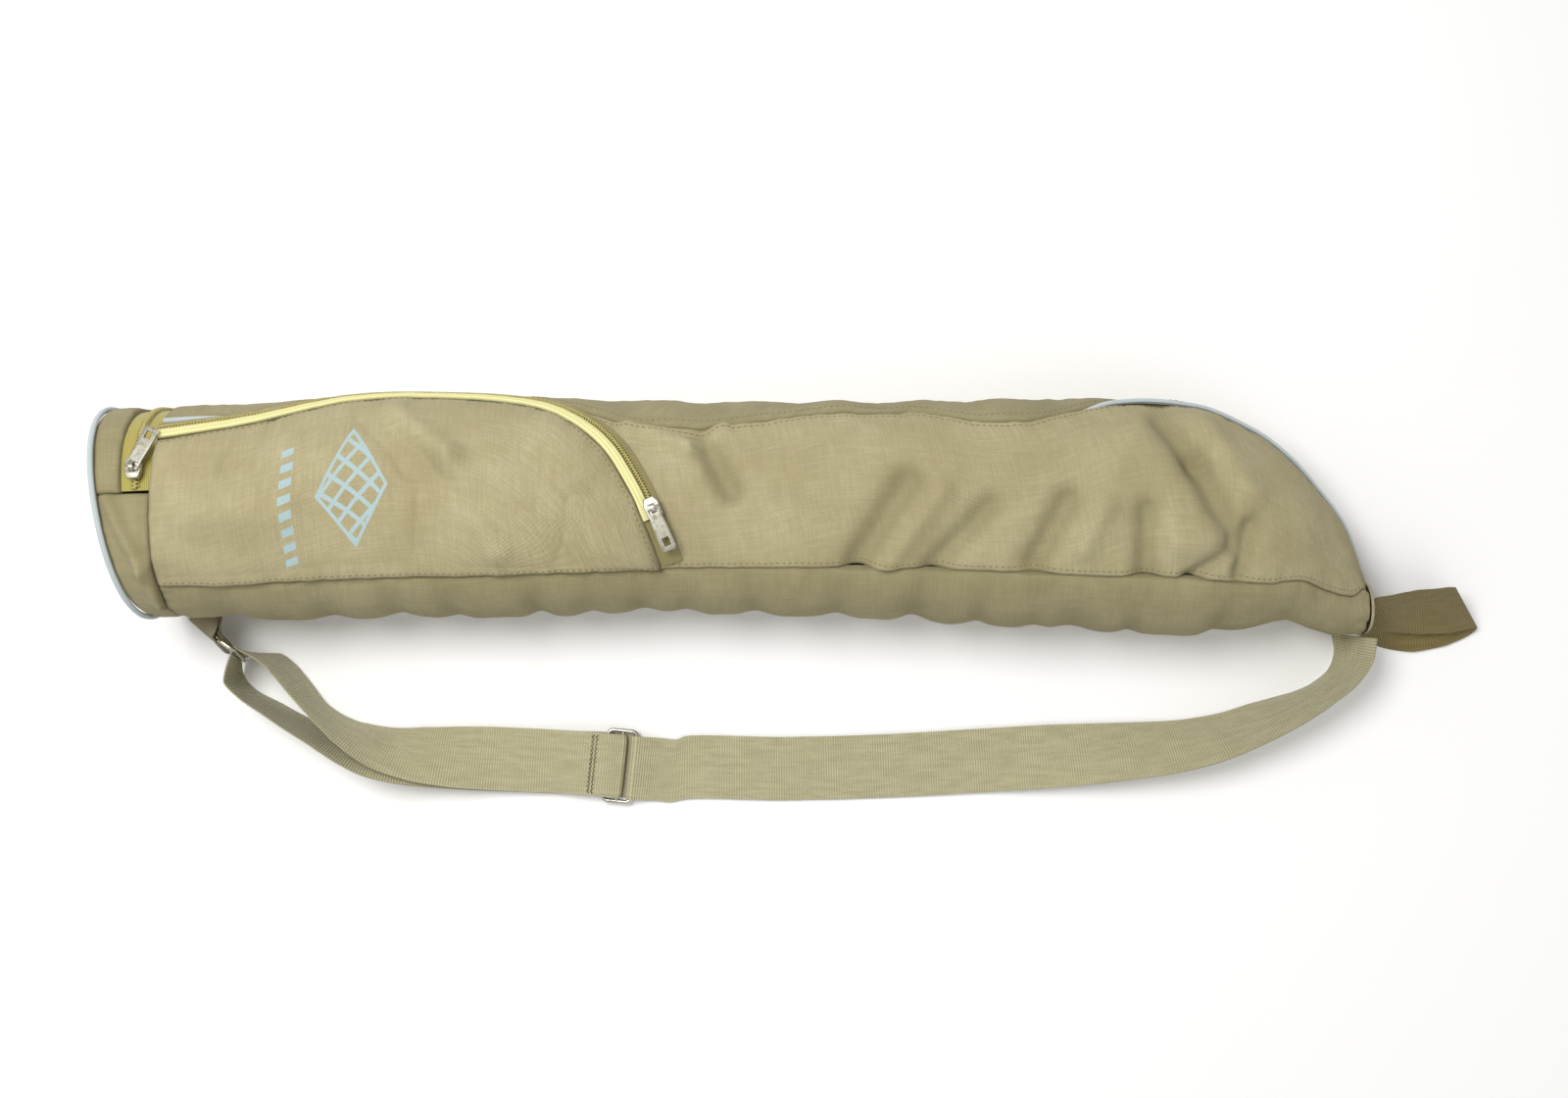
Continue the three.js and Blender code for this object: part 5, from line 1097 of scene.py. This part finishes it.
# The tab that holds the ring, folded round its inner bar
tab_root = vec(-.459 * BAG_LENGTH, -.966 * BAG_WIDTH / 2, .47 * WEBBING_WIDTH)
tab_run = unit((tab_bar - tab_root) * [1, 1, 0])
tab_heading = math.degrees(math.atan2(tab_run[1], tab_run[0]))
tab_side = vec(-tab_run[1], tab_run[0], 0)
tab_width = unit(vec(.72, .1, .68))


def tab_ply(sign):
    return tab_root + tab_side * sign * (WEBBING_THICK + CLEAR) / 2, tab_width


def beside_bar(sign):
    return tab_bar + tab_side * sign * WRAP_RADIUS - tab_run * WIRE * 1.5, ring_long


tab_route = [tab_ply(-1), beside_bar(-1),
             *wrap(tab_bar, ring_long, plan_x, plan_y, tab_heading - 90, tab_heading + 90, 10), beside_bar(1),
             tab_ply(1)]
add("strap_tab", ribbon("strap_tab", tab_route, 1.5, seed=5), SHADED_WEBBING_FINISH,
    replaces=["strap_tab"])

# The hang loop, a folded length of webbing out of the pointed end: the upper ply,
# the fold, then the lower ply. Shares of its reach and of the webbing's width.
LOOP_PLIES = [(0, 0, .62, .02, -.5, -.86), (.23, 0, .62, .1, -.6, -.79), (.49, .01, .6, .25, -.7, -.67),
              (.74, .02, .54, .42, -.7, -.58), (.92, .045, .44, .52, -.66, -.54), (1, .04, .35, .54, -.65, -.53),
              (.96, 0, .25, .54, -.7, -.46), (.76, -.06, .17, .38, -.88, -.28), (.5, -.1, .16, .2, -.95, -.24),
              (.24, -.1, .26, .1, -.82, -.56), (.07, -.08, .44, .05, -.6, -.8), (0, -.065, .55, .02, -.5, -.86)]
loop_root = vec(BAG_LENGTH / 2 + CLOTH + 1.2, -.94 * BAG_WIDTH / 2, 0)
loop_route = [(loop_root + vec(out * HANG_LOOP_REACH, aside * HANG_LOOP_REACH, rise * WEBBING_WIDTH),
               unit(vec(*width))) for out, aside, rise, *width in LOOP_PLIES]
loop_foot = min(m[2] - abs(w[2]) * WEBBING_WIDTH / 2 for m, w in loop_route) - .3
loop_route = [(m - UP * loop_foot, w) for m, w in loop_route]
add("hang_loop", ribbon("hang_loop", loop_route, 1.5, seed=9), SHADED_WEBBING_FINISH,
    replaces=["hang_loop"])

# Bent nickel wire for the ring and the adjuster
metal_nodes = Nodes("worn_nickel", roughness=0.34, metallic=1.0)
tarnish = metal_nodes.noise(metal_nodes.place(), 260.0, 4.0, 0.6)
METAL_FINISH = metal_nodes.finish(
    metal_nodes.mix(metal_nodes.ramp(tarnish, 0.4, 0.7), tint(206, 204, 192), tint(140, 134, 112)),
    metal_nodes.bump(tarnish, 0.00006), metal_nodes.ramp(tarnish, 0.35, 0.7, 0.24, 0.5))


WIRE_CORNER, CORNER_POINTS = 3.2, 8


def wire_loop(middle, across, along, half_x, half_y):
    """A rounded rectangle of wire round a middle."""
    line, corner = [], WIRE_CORNER
    for sx, sy, start in ((1, 1, 0), (-1, 1, 90), (-1, -1, 180), (1, -1, 270)):
        for t in np.radians(np.linspace(start, start + 90, CORNER_POINTS)):
            x, y = sx * (half_x - corner) + corner * math.cos(t), sy * (half_y - corner) + corner * math.sin(t)
            line.append(middle + across * x + along * y)
    return np.array(line)


def wire_piece(name, middle, across, along, half_x, bars, replaced):
    """The frame and its cross bars, each bar a straight wire across the frame."""
    half_y, face = (SLOT + WIRE) / 2, np.cross(across, along)
    vertices, faces, _ = tube(wire_loop(middle, across, along, half_x, half_y), WIRE / 2, 12, closed=True, up=face)
    for x in bars:
        line = np.array([middle + across * x + along * y for y in np.linspace(-half_y, half_y, 12)])
        v, f, _ = tube(line, WIRE / 2 * .92, 12, up=face)
        faces += [[len(vertices) + k for k in one] for one in f]
        vertices = np.concatenate([vertices, v])
    add(name, make_mesh(name, vertices, faces), METAL_FINISH, replaces=[replaced])


wire_piece("strap_ring", ring_middle, ring_across, ring_long, bar_offset, [], "strap_ring")
wire_piece("strap_adjuster", adjuster_middle, strap_on, strap_far, P, [0], "strap_adjuster")


# Zip sliders and pullers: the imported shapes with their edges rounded
METAL_ROUNDING = 0.12


def rounded_copy(node, rides):
    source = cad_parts[node]
    mesh = source.data.copy()
    mesh.materials.clear()
    piece = bpy.data.objects.new(node + "_cast", mesh)
    bpy.context.scene.collection.objects.link(piece)
    mesh.materials.append(METAL_FINISH)
    weld = piece.modifiers.new("weld", "WELD")
    weld.merge_threshold = 0.00001
    bevel = piece.modifiers.new("rounding", "BEVEL")
    bevel.width, bevel.segments = METAL_ROUNDING / 1000, 3
    bevel.limit_method, bevel.angle_limit = "ANGLE", math.radians(30)
    bevel.harden_normals = False
    mesh.polygons.foreach_set("use_smooth", [True] * len(mesh.polygons))
    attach(piece, rides)
    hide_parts(node)


for node, rides in (("end_zip_slider", "bag"), ("pocket_zip_slider", "bag"), ("end_zip_puller", "end_puller"),
                    ("pocket_zip_puller", "pocket_puller")):
    rounded_copy(node, rides)
